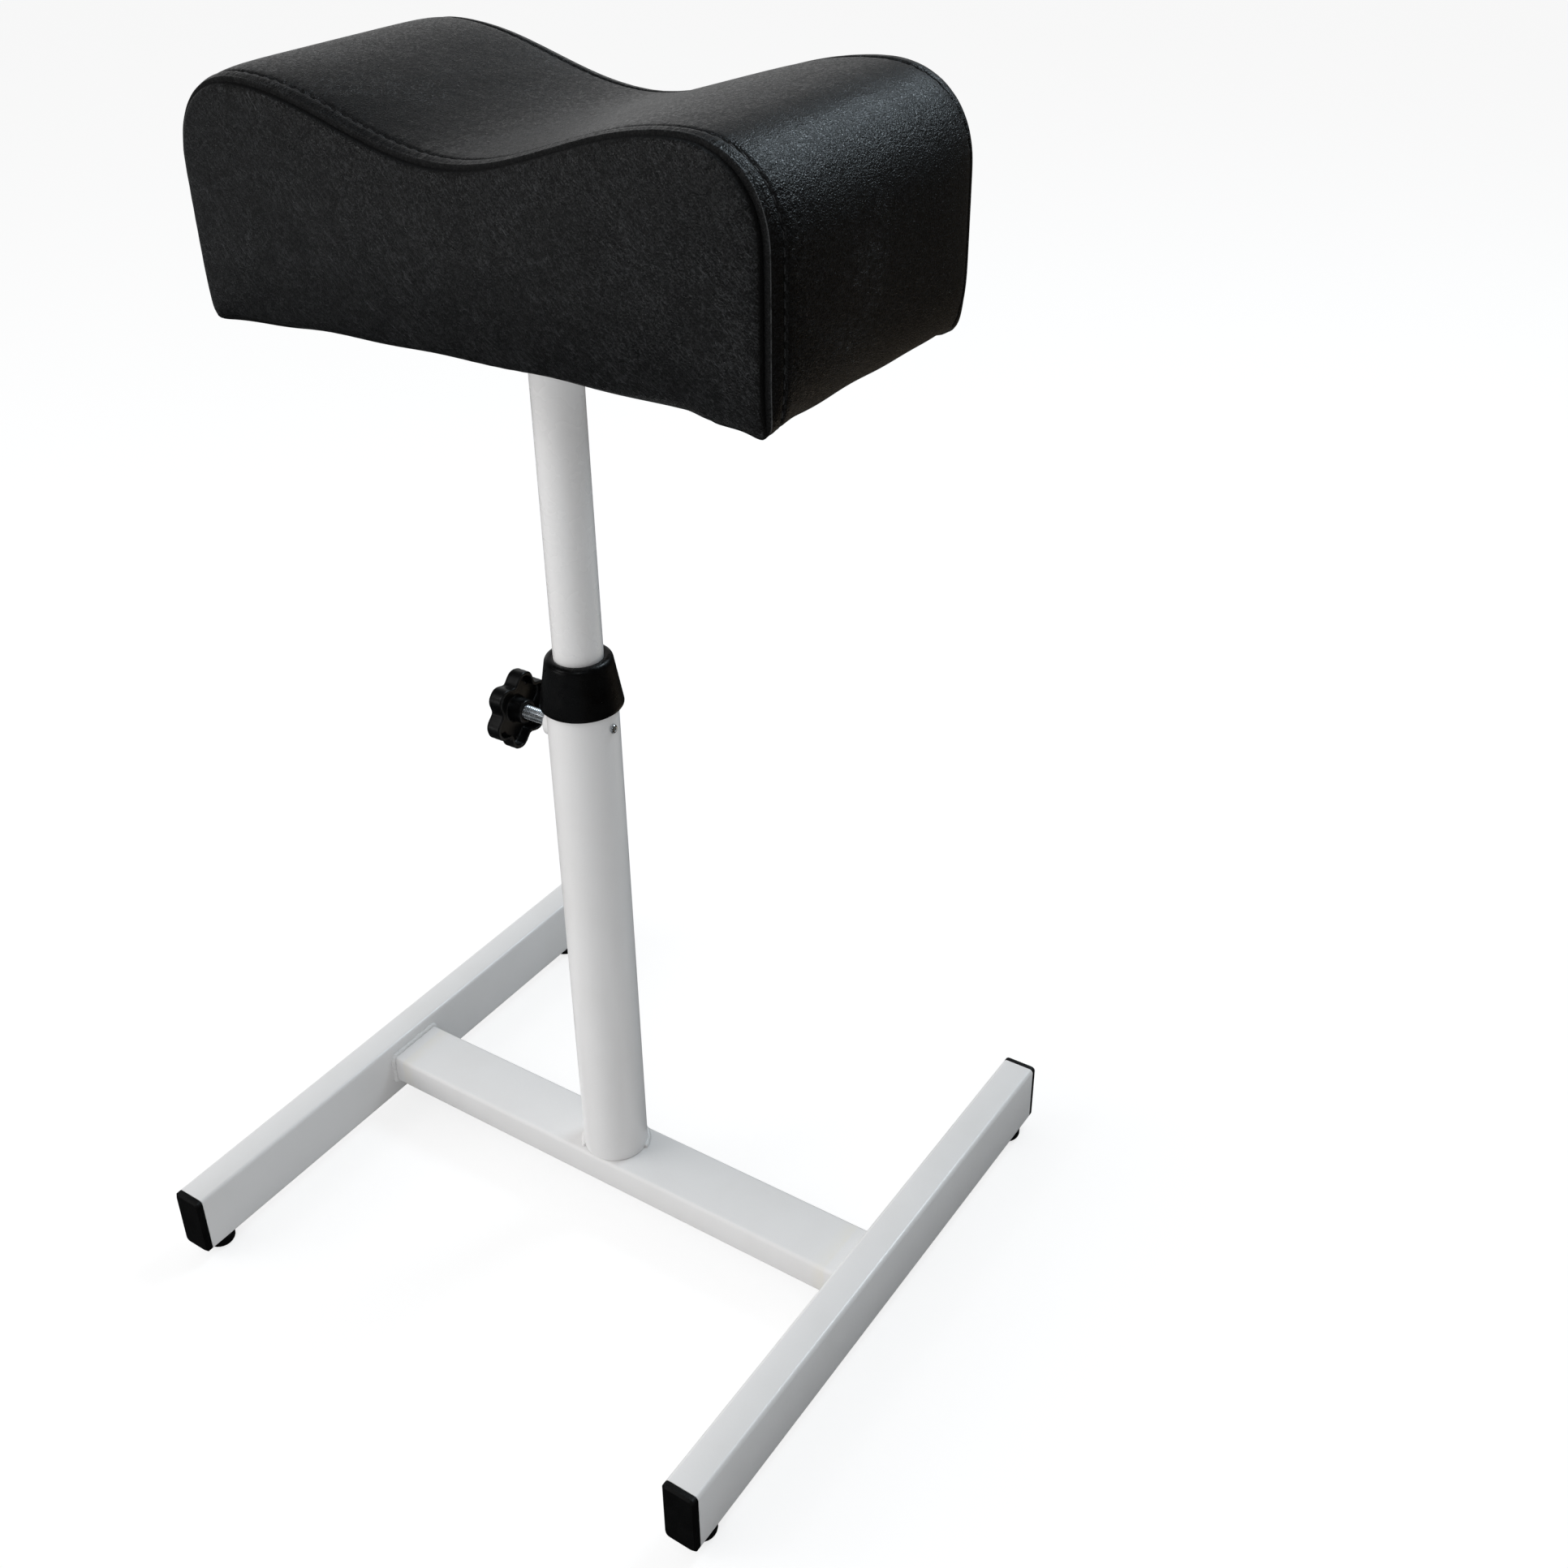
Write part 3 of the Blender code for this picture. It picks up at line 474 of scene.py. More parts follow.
def smoothCopy(node, look, slot):
    # The same solid with joined faces and smooth rounds, for a fine finish. Its
    # name is the node's, in camel case.
    source = frame["nodes"][node]
    first, *others = node.split("_")
    name = first + "".join(word.capitalize() for word in others)
    form = bmesh.new()
    form.from_mesh(source.data)
    bmesh.ops.remove_doubles(form, verts=form.verts, dist=1e-6)
    bmesh.ops.dissolve_limit(form, angle_limit=0.002, verts=form.verts, edges=form.edges)
    mesh = meshFrom(form, name)
    smoothMesh(mesh, 35)
    addPiece(name, mesh, look, source["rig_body"], slot, node)


corners = ["left_front", "left_back", "right_front", "right_back"]
smoothNodes = [
    ("base", "frame_enamel", ["rail_left", "rail_right", "cross_tube", "lower_post", "clamp_nut"]),
    ("post", "post_enamel", ["upper_post", "pad_plate"]),
    ("cap", "cap_plastic", ["cap_" + corner for corner in corners]),
    ("foot", "foot_plastic", ["foot_" + corner for corner in corners]),
    ("cap", "cap_plastic", ["post_end_plug"]),
]
for look, slot, nodes in smoothNodes:
    for node in nodes:
        smoothCopy(node, look, slot)
for slot in frame["nodes"]["seat_board"].material_slots:
    slot.material = looks["plywood"]
print("tubes, caps and glides dressed:", sum(len(nodes) for look, slot, nodes in smoothNodes))


def newTree(name, inputs):
    # A geometry tree with named inputs, each (name, kind) or (name, kind, value).
    tree = bpy.data.node_groups.new(name, "GeometryNodeTree")
    face = tree.interface
    face.new_socket("Geometry", in_out="INPUT", socket_type="NodeSocketGeometry")
    for label, kind, *value in inputs:
        socket = face.new_socket(label, in_out="INPUT", socket_type="NodeSocket" + kind)
        if value:
            socket.default_value = value[0]
    face.new_socket("Geometry", in_out="OUTPUT", socket_type="NodeSocketGeometry")
    entry = tree.nodes.new("NodeGroupInput")
    ways = {socket.name: Signal(tree, socket) for socket in entry.outputs if socket.name}
    return Signal(tree), ways


def closeTree(shape):
    # Makes the shape the tree's output, and gives the tree.
    whole = shape.node("GeometryNodeRealizeInstances", None, {"Geometry": shape})
    smooth = whole.node("GeometryNodeSetShadeSmooth", None, {"Geometry": whole})
    leave = shape.tree.nodes.new("NodeGroupOutput")
    shape.tree.links.new(smooth.socket, leave.inputs[0])
    return shape.tree


def grow(name, tree, values, source=None):
    # Runs a tree on a mesh and gives the result as a plain mesh.
    holder = placed(name + "Holder", source or bpy.data.meshes.new(name + "Source"))
    modifier = holder.modifiers.new("tree", "NODES")
    modifier.node_group = tree
    for item in tree.interface.items_tree:
        if item.in_out == "INPUT" and item.name in values:
            modifier[item.identifier] = values[item.name]
    grown = applied(holder)
    grown.name = name
    return grown


def turnOutwards(mesh, matrix):
    # Closed shells made by a rule get outward faces, and their place.
    form = bmesh.new()
    form.from_mesh(mesh)
    bmesh.ops.remove_doubles(form, verts=form.verts, dist=1e-6)
    bmesh.ops.dissolve_degenerate(form, edges=form.edges, dist=1e-7)
    if matrix:
        bmesh.ops.transform(form, matrix=matrix, verts=form.verts)
    bmesh.ops.recalc_face_normals(form, faces=form.faces)
    form.to_mesh(mesh)
    form.free()
    return mesh


def makeTurnedTree():
    # Turns a profile about Z. Its points hold the radius in X, the height in Z
    # and, in thousandths in Y, how much of the lobes or the thread they take.
    start, ways = newTree("turnedForm", [
        ("Profile", "Object"), ("Sides", "Int"), ("Steps", "Int"),
        ("Lobes", "Float"), ("Lobe Depth", "Float"), ("Lobe Power", "Float", 1.0),
        ("Turn", "Float"), ("Pitch", "Float", 1.0), ("Thread Depth", "Float"),
    ])
    inputs = {"Size X": 1.0, "Size Y": 1.0}
    inputs.update({"Vertices X": ways["Sides"] + 1, "Vertices Y": ways["Steps"]})
    grid = start.node("GeometryNodeMeshGrid", None, inputs)
    position = start.node("GeometryNodeInputPosition")
    place = position.split()
    angle = (place.other("X") + 0.5) * math.tau
    row = start.maths("ROUND", (place.other("Y") + 0.5) * (ways["Steps"] - 1))
    profile = start.node("GeometryNodeObjectInfo", None, {"Object": ways["Profile"]}, "Geometry")
    settings = {"data_type": "FLOAT_VECTOR", "domain": "POINT"}
    inputs = {"Geometry": profile, "Index": row, "Value": position}
    point = start.node("GeometryNodeSampleIndex", settings, inputs).split()
    hollow = 0.5 - start.maths("COSINE", angle * ways["Lobes"]) * 0.5
    hollow = hollow ** ways["Lobe Power"]
    phase = point.other("Z") / ways["Pitch"] - angle / math.tau
    ridge = start.maths("PINGPONG", phase, 0.5) * 2
    cut = hollow * ways["Lobe Depth"] + ridge * ways["Thread Depth"]
    radius = point.other("X") - cut * (point.other("Y") * 1000)
    around = angle + ways["Turn"]
    spot = start.node("ShaderNodeCombineXYZ", None, {
        0: radius * start.maths("COSINE", around),
        1: radius * start.maths("SINE", around),
        2: point.other("Z"),
    })
    shape = start.node("GeometryNodeSetPosition", None, {"Geometry": grid, "Position": spot})
    inputs = {"Geometry": shape, "Distance": 1e-6}
    return closeTree(start.node("GeometryNodeMergeByDistance", None, inputs))


def stepped(start, ways, length):
    # The source's edges as a curve in even steps.
    path = start.node("GeometryNodeMeshToCurve", None, {"Mesh": ways["Geometry"]})
    inputs = {"Curve": path, "Length": length}
    return start.node("GeometryNodeResampleCurve", {"mode": "LENGTH"}, inputs)


def scattered(start, pattern, points, turn, spin):
    # Closes a tree with the pattern at each point, turned, then spun on its own.
    piece = start.node("GeometryNodeObjectInfo", None, {"Object": pattern}, "Geometry")
    spin = start.node("FunctionNodeEulerToRotation", None, {0: spin})
    inputs = {"Rotation": turn, "Rotate By": spin}
    turn = start.node("FunctionNodeRotateRotation", {"rotation_space": "LOCAL"}, inputs)
    inputs = {"Points": points, "Instance": piece, "Rotation": turn}
    return closeTree(start.node("GeometryNodeInstanceOnPoints", None, inputs))


def makeRowTree():
    # Sets small pieces along a path, upright on the surface that it follows.
    start, ways = newTree("rowOnPath", [
        ("Piece", "Object"), ("Spacing", "Float"), ("Loose", "Float"), ("Seed", "Int"),
    ])
    path = stepped(start, ways, ways["Spacing"])
    kind = {"data_type": "FLOAT_VECTOR"}
    rise = start.node("GeometryNodeInputNamedAttribute", kind, {"Name": "rise"})
    along = start.node("GeometryNodeInputTangent")
    turn = start.node("FunctionNodeAlignRotationToVector", {"axis": "Z"}, {"Vector": rise})
    inputs = {"Rotation": turn, "Vector": along}
    turn = start.node("FunctionNodeAlignRotationToVector", {"axis": "X", "pivot_axis": "Z"}, inputs)
    ends = (0 - ways["Loose"], ways["Loose"])
    low, high = [start.node("ShaderNodeCombineXYZ", None, {0: end, 1: end, 2: end}) for end in ends]
    wobble = start.node("FunctionNodeRandomValue", kind, {0: low, 1: high, "Seed": ways["Seed"]})
    return scattered(start, ways["Piece"], path, turn, wobble)


def makeScatterTree():
    # Sets a screw at each point, with its own chance turn about its axis.
    start, ways = newTree("screwsAtPoints", [
        ("Screw", "Object"), ("Axis Turn", "Rotation"), ("Seed", "Int"),
    ])
    inputs = {2: 0.0, 3: math.tau, "Seed": ways["Seed"]}
    spin = start.node("FunctionNodeRandomValue", {"data_type": "FLOAT"}, inputs, 1)
    spin = start.node("ShaderNodeCombineXYZ", None, {2: spin})
    return scattered(start, ways["Screw"], ways["Geometry"], ways["Axis Turn"], spin)


def makeBeadTree():
    # A weld bead: a round run along a path, swelling with each pool.
    start, ways = newTree("weldBead", [
        ("Radius", "Float"), ("Pool", "Float"), ("Swell", "Float"), ("Seed", "Float"),
    ])
    kind = {"data_type": "FLOAT"}
    length = start.node("GeometryNodeSplineParameter", output="Length")
    inputs = {"Geometry": stepped(start, ways, 0.0005), "Name": "run", "Value": length}
    path = start.node("GeometryNodeStoreNamedAttribute", kind, inputs)
    inputs = {"Resolution": 12, "Radius": ways["Radius"]}
    ring = start.node("GeometryNodeCurvePrimitiveCircle", None, inputs)
    inputs = {"Curve": path, "Profile Curve": ring, "Fill Caps": True}
    tube = start.node("GeometryNodeCurveToMesh", None, inputs)
    run = start.node("GeometryNodeInputNamedAttribute", kind, {"Name": "run"})
    ripple = abs(start.maths("SINE", run * math.pi / ways["Pool"]))
    inputs = {"Vector": start.node("GeometryNodeInputPosition"), "W": ways["Seed"], "Scale": 260.0}
    uneven = start.node("ShaderNodeTexNoise", {"noise_dimensions": "4D"}, inputs)
    push = ((ripple - 0.5) * ways["Swell"] + (uneven - 0.5) * 0.9) * ways["Radius"]
    move = start.node("GeometryNodeInputNormal").vector("SCALE", scale=push)
    return closeTree(start.node("GeometryNodeSetPosition", None, {"Geometry": tube, "Offset": move}))


turnedTree = makeTurnedTree()
rowTree = makeRowTree()
beadTree = makeBeadTree()
scatterTree = makeScatterTree()
print("geometry trees made")


def lineMesh(name, points, closed=False):
    mesh = bpy.data.meshes.new(name)
    edges = [(index, index + 1) for index in range(len(points) - 1)]
    if closed:
        edges.append((len(points) - 1, 0))
    mesh.from_pydata([tuple(point) for point in points], edges, [])
    return mesh


def turnedMesh(name, profile, values, matrix, degrees=40):
    # profile: (radius, height, share of the lobes or thread)
    points = [(radius, share / 1000, height) for radius, height, share in profile]
    holder = placed(name + "Profile", lineMesh(name + "Profile", points))
    settings = {"Profile": holder, "Steps": len(points), **values}
    mesh = turnOutwards(grow(name, turnedTree, settings), matrix)
    bpy.data.objects.remove(holder)
    smoothMesh(mesh, degrees)
    return mesh


def arc(middle, radius, first, last, steps):
    # (radius, height) points of an arc, angles in degrees.
    made = []
    for step in range(steps + 1):
        angle = math.radians(first + (last - first) * step / steps)
        made.append((middle[0] + radius * math.cos(angle), middle[1] + radius * math.sin(angle)))
    return made


def shared(outline, share):
    return [(radius, height, share) for radius, height in outline]


def prism(form, *rings):
    # A closed body through rings of points, with a face at each end.
    rows = [[form.verts.new(point) for point in ring] for ring in rings]
    form.faces.new(rows[0])
    form.faces.new(rows[-1])
    for one, two in zip(rows, rows[1:]):
        for index in range(len(one)):
            after = (index + 1) % len(one)
            form.faces.new((one[index], one[after], two[after], two[index]))
    bmesh.ops.recalc_face_normals(form, faces=form.faces)


# Collar over the lower post's end, with its sleeve inside the tube.
collarSizes = {
    "skirtRadius": 0.0226,
    "topRadius": 0.0184,
    "skirt": 0.0110,
    "round": 0.0032,
    "lip": 0.0008,
    "slotRadius": 0.0198,
    "gap": 0.0003,  # between the slot's end and the post's
    "sleeveRadius": 0.0177,
    "bore": 0.01365,
    "slope": 8,  # degrees at which the side meets the top's round
    "dotRadius": 0.0007,
    "dotDrop": 0.0052,
    "dotStand": 0.0002,
    "dotAngle": math.radians(236),  # seen just left of the front
}


def rimHeight(node, lip):
    # The height of the collar's lower rim.
    wide = max(math.hypot(v.co.x, v.co.y) for v in node.data.vertices)
    rim = [v.co.z for v in node.data.vertices if math.hypot(v.co.x, v.co.y) > wide - lip * 1.01]
    return max(height for height in rim if height < min(rim) + 1e-5)


def makeCollar(sizes):
    low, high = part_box("collar")
    tip = low.z
    top = high.z - tip
    lip, rounding, slope, bore = sizes["lip"], sizes["round"], sizes["slope"], sizes["bore"]
    base = rimHeight(frame["nodes"]["collar"], lip) - tip
    seat = base + sizes["skirt"] + sizes["gap"]
    corner = (sizes["topRadius"] - rounding, top - rounding)
    outline = [(sizes["slotRadius"], seat), (sizes["slotRadius"], base)]
    outline += arc((sizes["skirtRadius"] - lip, base + lip), lip, -90, 0, 5)
    start = outline[-1]
    end = arc(corner, rounding, slope, slope, 1)[0]
    steps = 16
    for k in range(1, steps):
        outline.append(tuple(a + (b - a) * k / steps for a, b in zip(start, end)))
    outline += arc(corner, rounding, slope, 90, 10)
    outline += arc((bore + lip, top - lip), lip, 90, 180, 4)
    outline += [(bore, 0), (sizes["sleeveRadius"] - lip, 0)]
    outline += [(sizes["sleeveRadius"], lip), (sizes["sleeveRadius"], seat), outline[0]]
    place = Matrix.Translation((0, 0, tip))
    mesh = turnedMesh("collarRing", shared(outline, 0), {"Sides": 128}, place)
    form = bmesh.new()
    form.from_mesh(mesh)
    angle, across = sizes["dotAngle"], sizes["topRadius"] + sizes["dotStand"]
    spot = (across * math.cos(angle), across * math.sin(angle), high.z - sizes["dotDrop"])
    dot = Matrix.Translation(spot)
    bmesh.ops.create_icosphere(form, subdivisions=3, radius=sizes["dotRadius"], matrix=dot)
    form.to_mesh(mesh)
    form.free()
    smoothMesh(mesh, 40)
    addPiece("collarRing", mesh, "collar", "base", "collar_plastic", "collar")


makeCollar(collarSizes)

# Clamp: threaded stud and star knob along -X.
clampSizes = {
    "height": 0.3335,
    "studRadius": 0.0040,
    "pitch": 0.00125,
    "threadDepth": 0.00055,
    "stepsPerPitch": 8,
    "studSides": 32,
    "chamfer": 0.0008,
    "knobRadius": 0.0222,
    "lobes": 6,
    "lobeDepth": 0.0050,
    "lobePower": 1.55,
    "turn": math.radians(14),
    "thickness": 0.0090,
    "edge": 0.0009,
    "hollow": 0.0056,
    "wall": 0.0021,
    "lip": 0.0004,
    "crown": 0.0022,
    "hubRadius": 0.0068,
    "hubRise": 0.0030,
    "offset": 0.0390,
    "socket": 0.0090,
    "socketGap": 0.0003,
    "knobSides": 144,
}
toLeft = Matrix.Rotation(math.radians(-90), 4, "Y")


def makeStud(sizes):
    low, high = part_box("clamp_stud")
    tip, end = -high.x, -low.x
    radius, chamfer = sizes["studRadius"], sizes["chamfer"]
    run = end - tip - 2 * chamfer
    count = round(run / sizes["pitch"] * sizes["stepsPerPitch"])
    profile = [(0, tip, 0), (radius - chamfer, tip, 0)]
    for step in range(count + 1):
        fade = min(1.0, step / 6, (count - step) / 6)
        profile.append((radius, tip + chamfer + run * step / count, fade))
    profile += [(radius - chamfer, end, 0), (0, end, 0)]
    values = {"Sides": sizes["studSides"], "Pitch": sizes["pitch"], "Thread Depth": sizes["threadDepth"]}
    place = Matrix.Translation((0, 0, sizes["height"])) @ toLeft
    mesh = turnedMesh("threadedStud", profile, values, place, 60)
    addPiece("threadedStud", mesh, "zinc", "clamp_screw", "zinc", "clamp_stud")


def makeKnob(sizes):
    offset, edge, lip, rim = sizes["offset"], sizes["edge"], sizes["lip"], sizes["knobRadius"]
    near = offset + sizes["hubRise"]
    far = near + sizes["thickness"]
    socket, hub = sizes["studRadius"] + sizes["socketGap"], sizes["hubRadius"]
    profile = [(0, offset + sizes["socket"], 0), (socket, offset + sizes["socket"], 0)]
    profile += [(socket, offset + 0.0006, 0), (socket + 0.0006, offset, 0)]
    profile += [(hub - 0.0012, offset, 0), (hub - 0.0004, offset + 0.0003, 0), (hub, offset + 0.0010, 0)]
    # Hollow towards the collar, with the hub standing in it.
    floor, wall = near + sizes["hollow"], rim - sizes["wall"]
    profile += [(hub + 0.0003, floor - 0.0006, 0), (hub + 0.0009, floor, 0.02)]
    profile += [(hub + (wall - hub) * share, floor, share) for share in (0.15, 0.35, 0.6, 0.8)]
    profile += [(wall - 0.0006, floor, 1), (wall, floor - 0.0006, 1)]
    profile += shared(arc((wall + lip, near + lip), lip, 180, 270, 4), 1)
    profile += shared(arc((rim - edge, near + edge), edge, -90, 0, 6), 1)
    for share in (0.25, 0.5, 0.75):
        bulge = 0.0003 * math.sin(math.pi * share)
        height = near + edge + (sizes["thickness"] - 3 * edge) * share
        profile.append((rim + bulge - 0.0003, height, 1))
    profile += shared(arc((rim - 2 * edge, far - 2 * edge), 2 * edge, 0, 90, 8), 1)
    for share in (0.8, 0.6, 0.4, 0.2, 0.0):
        profile.append(((rim - 3 * edge) * share, far + sizes["crown"] * (1 - share ** 2), share))
    values = {"Sides": sizes["knobSides"], "Lobes": float(sizes["lobes"]), "Turn": sizes["turn"]}
    values.update({"Lobe Depth": sizes["lobeDepth"], "Lobe Power": sizes["lobePower"]})
    place = Matrix.Translation((0, 0, sizes["height"])) @ toLeft
    mesh = turnedMesh("starKnob", profile, values, place, 50)
    addPiece("starKnob", mesh, "knob", "clamp_handle", "knob_plastic", "clamp_knob")


makeStud(clampSizes)
makeKnob(clampSizes)
print("collar and clamp made")

# Screws: a pan head with a cross recess, on a plain shank.
screwSizes = {
    "bush": {"head": 0.0025, "rise": 0.0016, "shank": 0.0014, "length": 0.0040, "slot": 0.0030},
    "plate": {"head": 0.0042, "rise": 0.0024, "shank": 0.0020, "length": 0.0140, "slot": 0.0048},
}


def screwMesh(name, sizes):
    # The head rises along +Z from the origin, and the shank goes down.
    head, rise, shank, tip, slot = [sizes[key] for key in ("head", "rise", "shank", "length", "slot")]
    profile = [(0, -tip, 0), (shank * 0.5, -tip + shank * 0.6, 0)]
    profile += [(shank, -tip + shank * 1.6, 0), (shank, 0, 0), (head, 0, 0)]
    profile += shared(arc((head - rise * 0.75, rise * 0.25), rise * 0.75, 0, 80, 6), 0)
    profile.append((0, rise, 0))
    mesh = turnedMesh(name, profile, {"Sides": 32}, None)
    slotWidth, depth = slot * 0.24, rise * 0.75
    form = bmesh.new()
    for length, width in ((slot, slotWidth), (slotWidth * 0.96, slot * 0.98)):
        top = [(x * length / 2, y * width / 2, rise * 1.4) for x, y in ((-1, -1), (1, -1), (1, 1), (-1, 1))]
        prism(form, top, [(x * 0.45, y * 0.45, rise - depth) for x, y, z in top])
    return cutMesh(name, mesh, meshFrom(form, name + "Cross"), True)


def cutMesh(name, mesh, cutter, selfCrossing=False):
    # mesh less cutter, as a plain mesh
    target, tool = placed(name + "Target", mesh), placed(name + "Tool", cutter)
    boolean = target.modifiers.new("cut", "BOOLEAN")
    boolean.operation, boolean.solver, boolean.object = "DIFFERENCE", "EXACT", tool
    boolean.use_self = selfCrossing
    made = applied(target)
    bpy.data.objects.remove(tool)
    return made


def placeScrews(name, kind, points, turn, body, *nodes):
    screw = placed(name + "Pattern", screwMesh(name + "Pattern", screwSizes[kind]))
    spots = bpy.data.meshes.new(name + "Spots")
    spots.from_pydata(points, [], [])
    mesh = grow(name, scatterTree, {"Screw": screw, "Axis Turn": turn, "Seed": 5}, spots)
    bpy.data.objects.remove(screw)
    smoothMesh(mesh, 38)
    addPiece(name, mesh, "zinc", body, "zinc", *nodes)


def middleOf(node):
    low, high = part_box(node)
    return (low + high) / 2


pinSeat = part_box("bush_screw")[1].x - screwSizes["bush"]["rise"]
pinPlace = (pinSeat, 0, middleOf("bush_screw").z)
placeScrews("bushScrew", "bush", [pinPlace], (0, math.radians(90), 0), "base", "bush_screw")
plateNodes = ["plate_screw_" + str(number) for number in (1, 2, 3, 4)]
platePlaces = []
for node in plateNodes:
    middle, low = middleOf(node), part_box(node)[0]
    platePlaces.append((middle.x, middle.y, low.z + screwSizes["plate"]["rise"]))
placeScrews("plateScrews", "plate", platePlaces, (math.radians(180), 0, 0), "head", *plateNodes)
print("screws placed")

# Weld beads at the joints of the base and under the plate.
weldSizes = {
    "radius": 0.0016,
    "pool": 0.0017,
    "swell": 0.35,
    "sink": 0.0002,  # how far a bead's middle stands inside the joint
    "gap": 0.0003,  # from a joint's corner out to the bead's middle
    "corner": 0.0028,
    "postRuns": ((118, 232), (10, 82)),  # degrees round the lower post
    "plateRun": (0, 352),
}


def roundedBox(width, height, corner):
    # (side, rise) points of a rectangle with round corners
    outline = []
    for turn, (side, rise) in enumerate(((1, 1), (-1, 1), (-1, -1), (1, -1))):
        middle = (side * (width / 2 - corner), rise * (height / 2 - corner))
        outline += arc(middle, corner, 90 * turn, 90 * turn + 90, 4)
    return outline


def ringPath(radius, height, first, last):
    count = 48
    angles = [math.radians(first + (last - first) * step / count) for step in range(count + 1)]
    return [(radius * math.cos(a), radius * math.sin(a), height) for a in angles]


def makeWelds(sizes):
    tubeLow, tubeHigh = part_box("cross_tube")
    middle = (tubeLow + tubeHigh) / 2
    size = tubeHigh - tubeLow
    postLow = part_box("lower_post")[0]
    sink, gap = sizes["sink"], sizes["gap"]
    paths = []
    for side in (-1, 1):
        x = side * (tubeHigh.x - sink)
        ring = roundedBox(size.y + 2 * gap, size.z + 2 * gap, sizes["corner"])
        paths.append(([(x, y, middle.z + z) for y, z in ring], True))
    for first, last in sizes["postRuns"]:
        paths.append((ringPath(sink - postLow.x, postLow.z + sink, first, last), False))
    settleWeld("baseWelds", paths, sizes, "base", "base", "frame_enamel")
    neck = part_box("upper_post")[1]
    path = [(ringPath(neck.x + gap, neck.z - sink, *sizes["plateRun"]), False)]
    settleWeld("plateWeld", path, sizes, "post", "head", "post_enamel")


def settleWeld(name, paths, sizes, look, body, slot):
    form = bmesh.new()
    for index, (points, closed) in enumerate(paths):
        values = {"Radius": sizes["radius"], "Pool": sizes["pool"], "Swell": sizes["swell"]}
        values["Seed"] = float(index)
        form.from_mesh(grow(name, beadTree, values, lineMesh(name + "Path", points, closed)))
    bmesh.ops.remove_doubles(form, verts=form.verts, dist=1e-6)
    bmesh.ops.recalc_face_normals(form, faces=form.faces)
    mesh = meshFrom(form, name)
    mesh.shade_smooth()
    addPiece(name, mesh, look, body, slot)


makeWelds(weldSizes)
print("welds made")

# Cushion: its forms are the CAD's, in finer steps, with the cover's own swell,
# seams and stitches.
padSizes = {
    "shift": (0.0110, 0.0005),
    "turn": math.radians(-1.6),
    "seamWidth": 0.3250,
    "depth": 0.1540,
    "crestHeight": 0.1137,
    "valleyDrop": 0.0245,
    "crestSpan": 0.2470,
    "shoulderHeight": 0.0400,
    "shoulderPower": 2.15,
    "footRound": 0.0040,
    "sideTuck": 0.0010,
    "topCrown": (0.0034, -0.0008),  # at the left and the right crest
    "sideCrown": (0.0068, 0.0084),
    "panelCrown": 0.0066,
    "panelReach": 0.0220,
    "hemTuck": 0.0065,
    "hemHeight": 0.0300,
    "hemRise": 0.0055,
    "sideRise": 0.0042,
    "flaps": ((0.6, 0.123, 0.134), (0.4, 0.146, 0.160)),  # how much the hem falls, and where, at the right
    "sideLift": (0.120, 0.158),  # where the hem rises towards the ends, and to their corners
    "sideCorners": (0.058, 0.072),
    "hemWave": 0.0004,
    "columns": 84,
    "rows": 26,
    "evenings": 160,  # how often a panel's grid is evened out
    "seamSteps": (0.0, 0.0004, 0.0009, 0.0013, 0.0017, 0.0021, 0.0026, 0.0034, 0.0044, 0.0056, 0.0065,
                  0.0071, 0.0076, 0.0080, 0.0084, 0.0089, 0.0096, 0.0106, 0.0122, 0.0148,
                  0.0185, 0.0230, 0.0285, 0.0345, 0.0410, 0.0480, 0.0550, 0.0625, 0.0700, 0.0770),
    "panelSteps": (0.0, 0.0004, 0.0009, 0.0014, 0.0020, 0.0029, 0.0041, 0.0055),
    "simSteps": (0.0, 0.0045, 0.0090, 0.0140, 0.0190, 0.0240, 0.0290, 0.0340, 0.0390, 0.0440,
                 0.0490, 0.0540, 0.0590, 0.0640, 0.0700, 0.0770),
    "simPanelSteps": (0.0, 0.0027, 0.0055),
    "stitchLine": 0.0080,
    # steps of the outline's top, shoulder, side, foot and hem
    "outline": (240, 160, 60, 40, 160),
    "board": (0.3020, 0.1260, 0.0120),  # its width, depth and corner
    "boardGap": 0.0003,
    "pocketLow": -0.004,
}
clothSettings = {
    "frames": 20,
    "pressure": 5.0,
    "mass": 0.3,
    "stiffness": 6.0,
    "bending": 1.5,
    "cap": 0.006,
    "startFullness": 0.70,
    "calm": 24,  # how often the strip's ripples are evened out
    "quality": 6,
    "heldRise": 0.0020,
}


def seamTop(x, sizes):
    crest = sizes["crestSpan"] / 2
    swing = np.sin(np.pi * np.abs(x) / sizes["crestSpan"])
    inner = sizes["crestHeight"] - sizes["valleyDrop"] * (1 - swing ** 2)
    share = np.clip((np.abs(x) - crest) / (sizes["seamWidth"] / 2 - crest), 0, 1)
    power = sizes["shoulderPower"]
    outer = sizes["crestHeight"] - sizes["shoulderHeight"] * (1 - (1 - share ** power) ** (1 / power))
    return np.where(np.abs(x) <= crest, inner, outer)


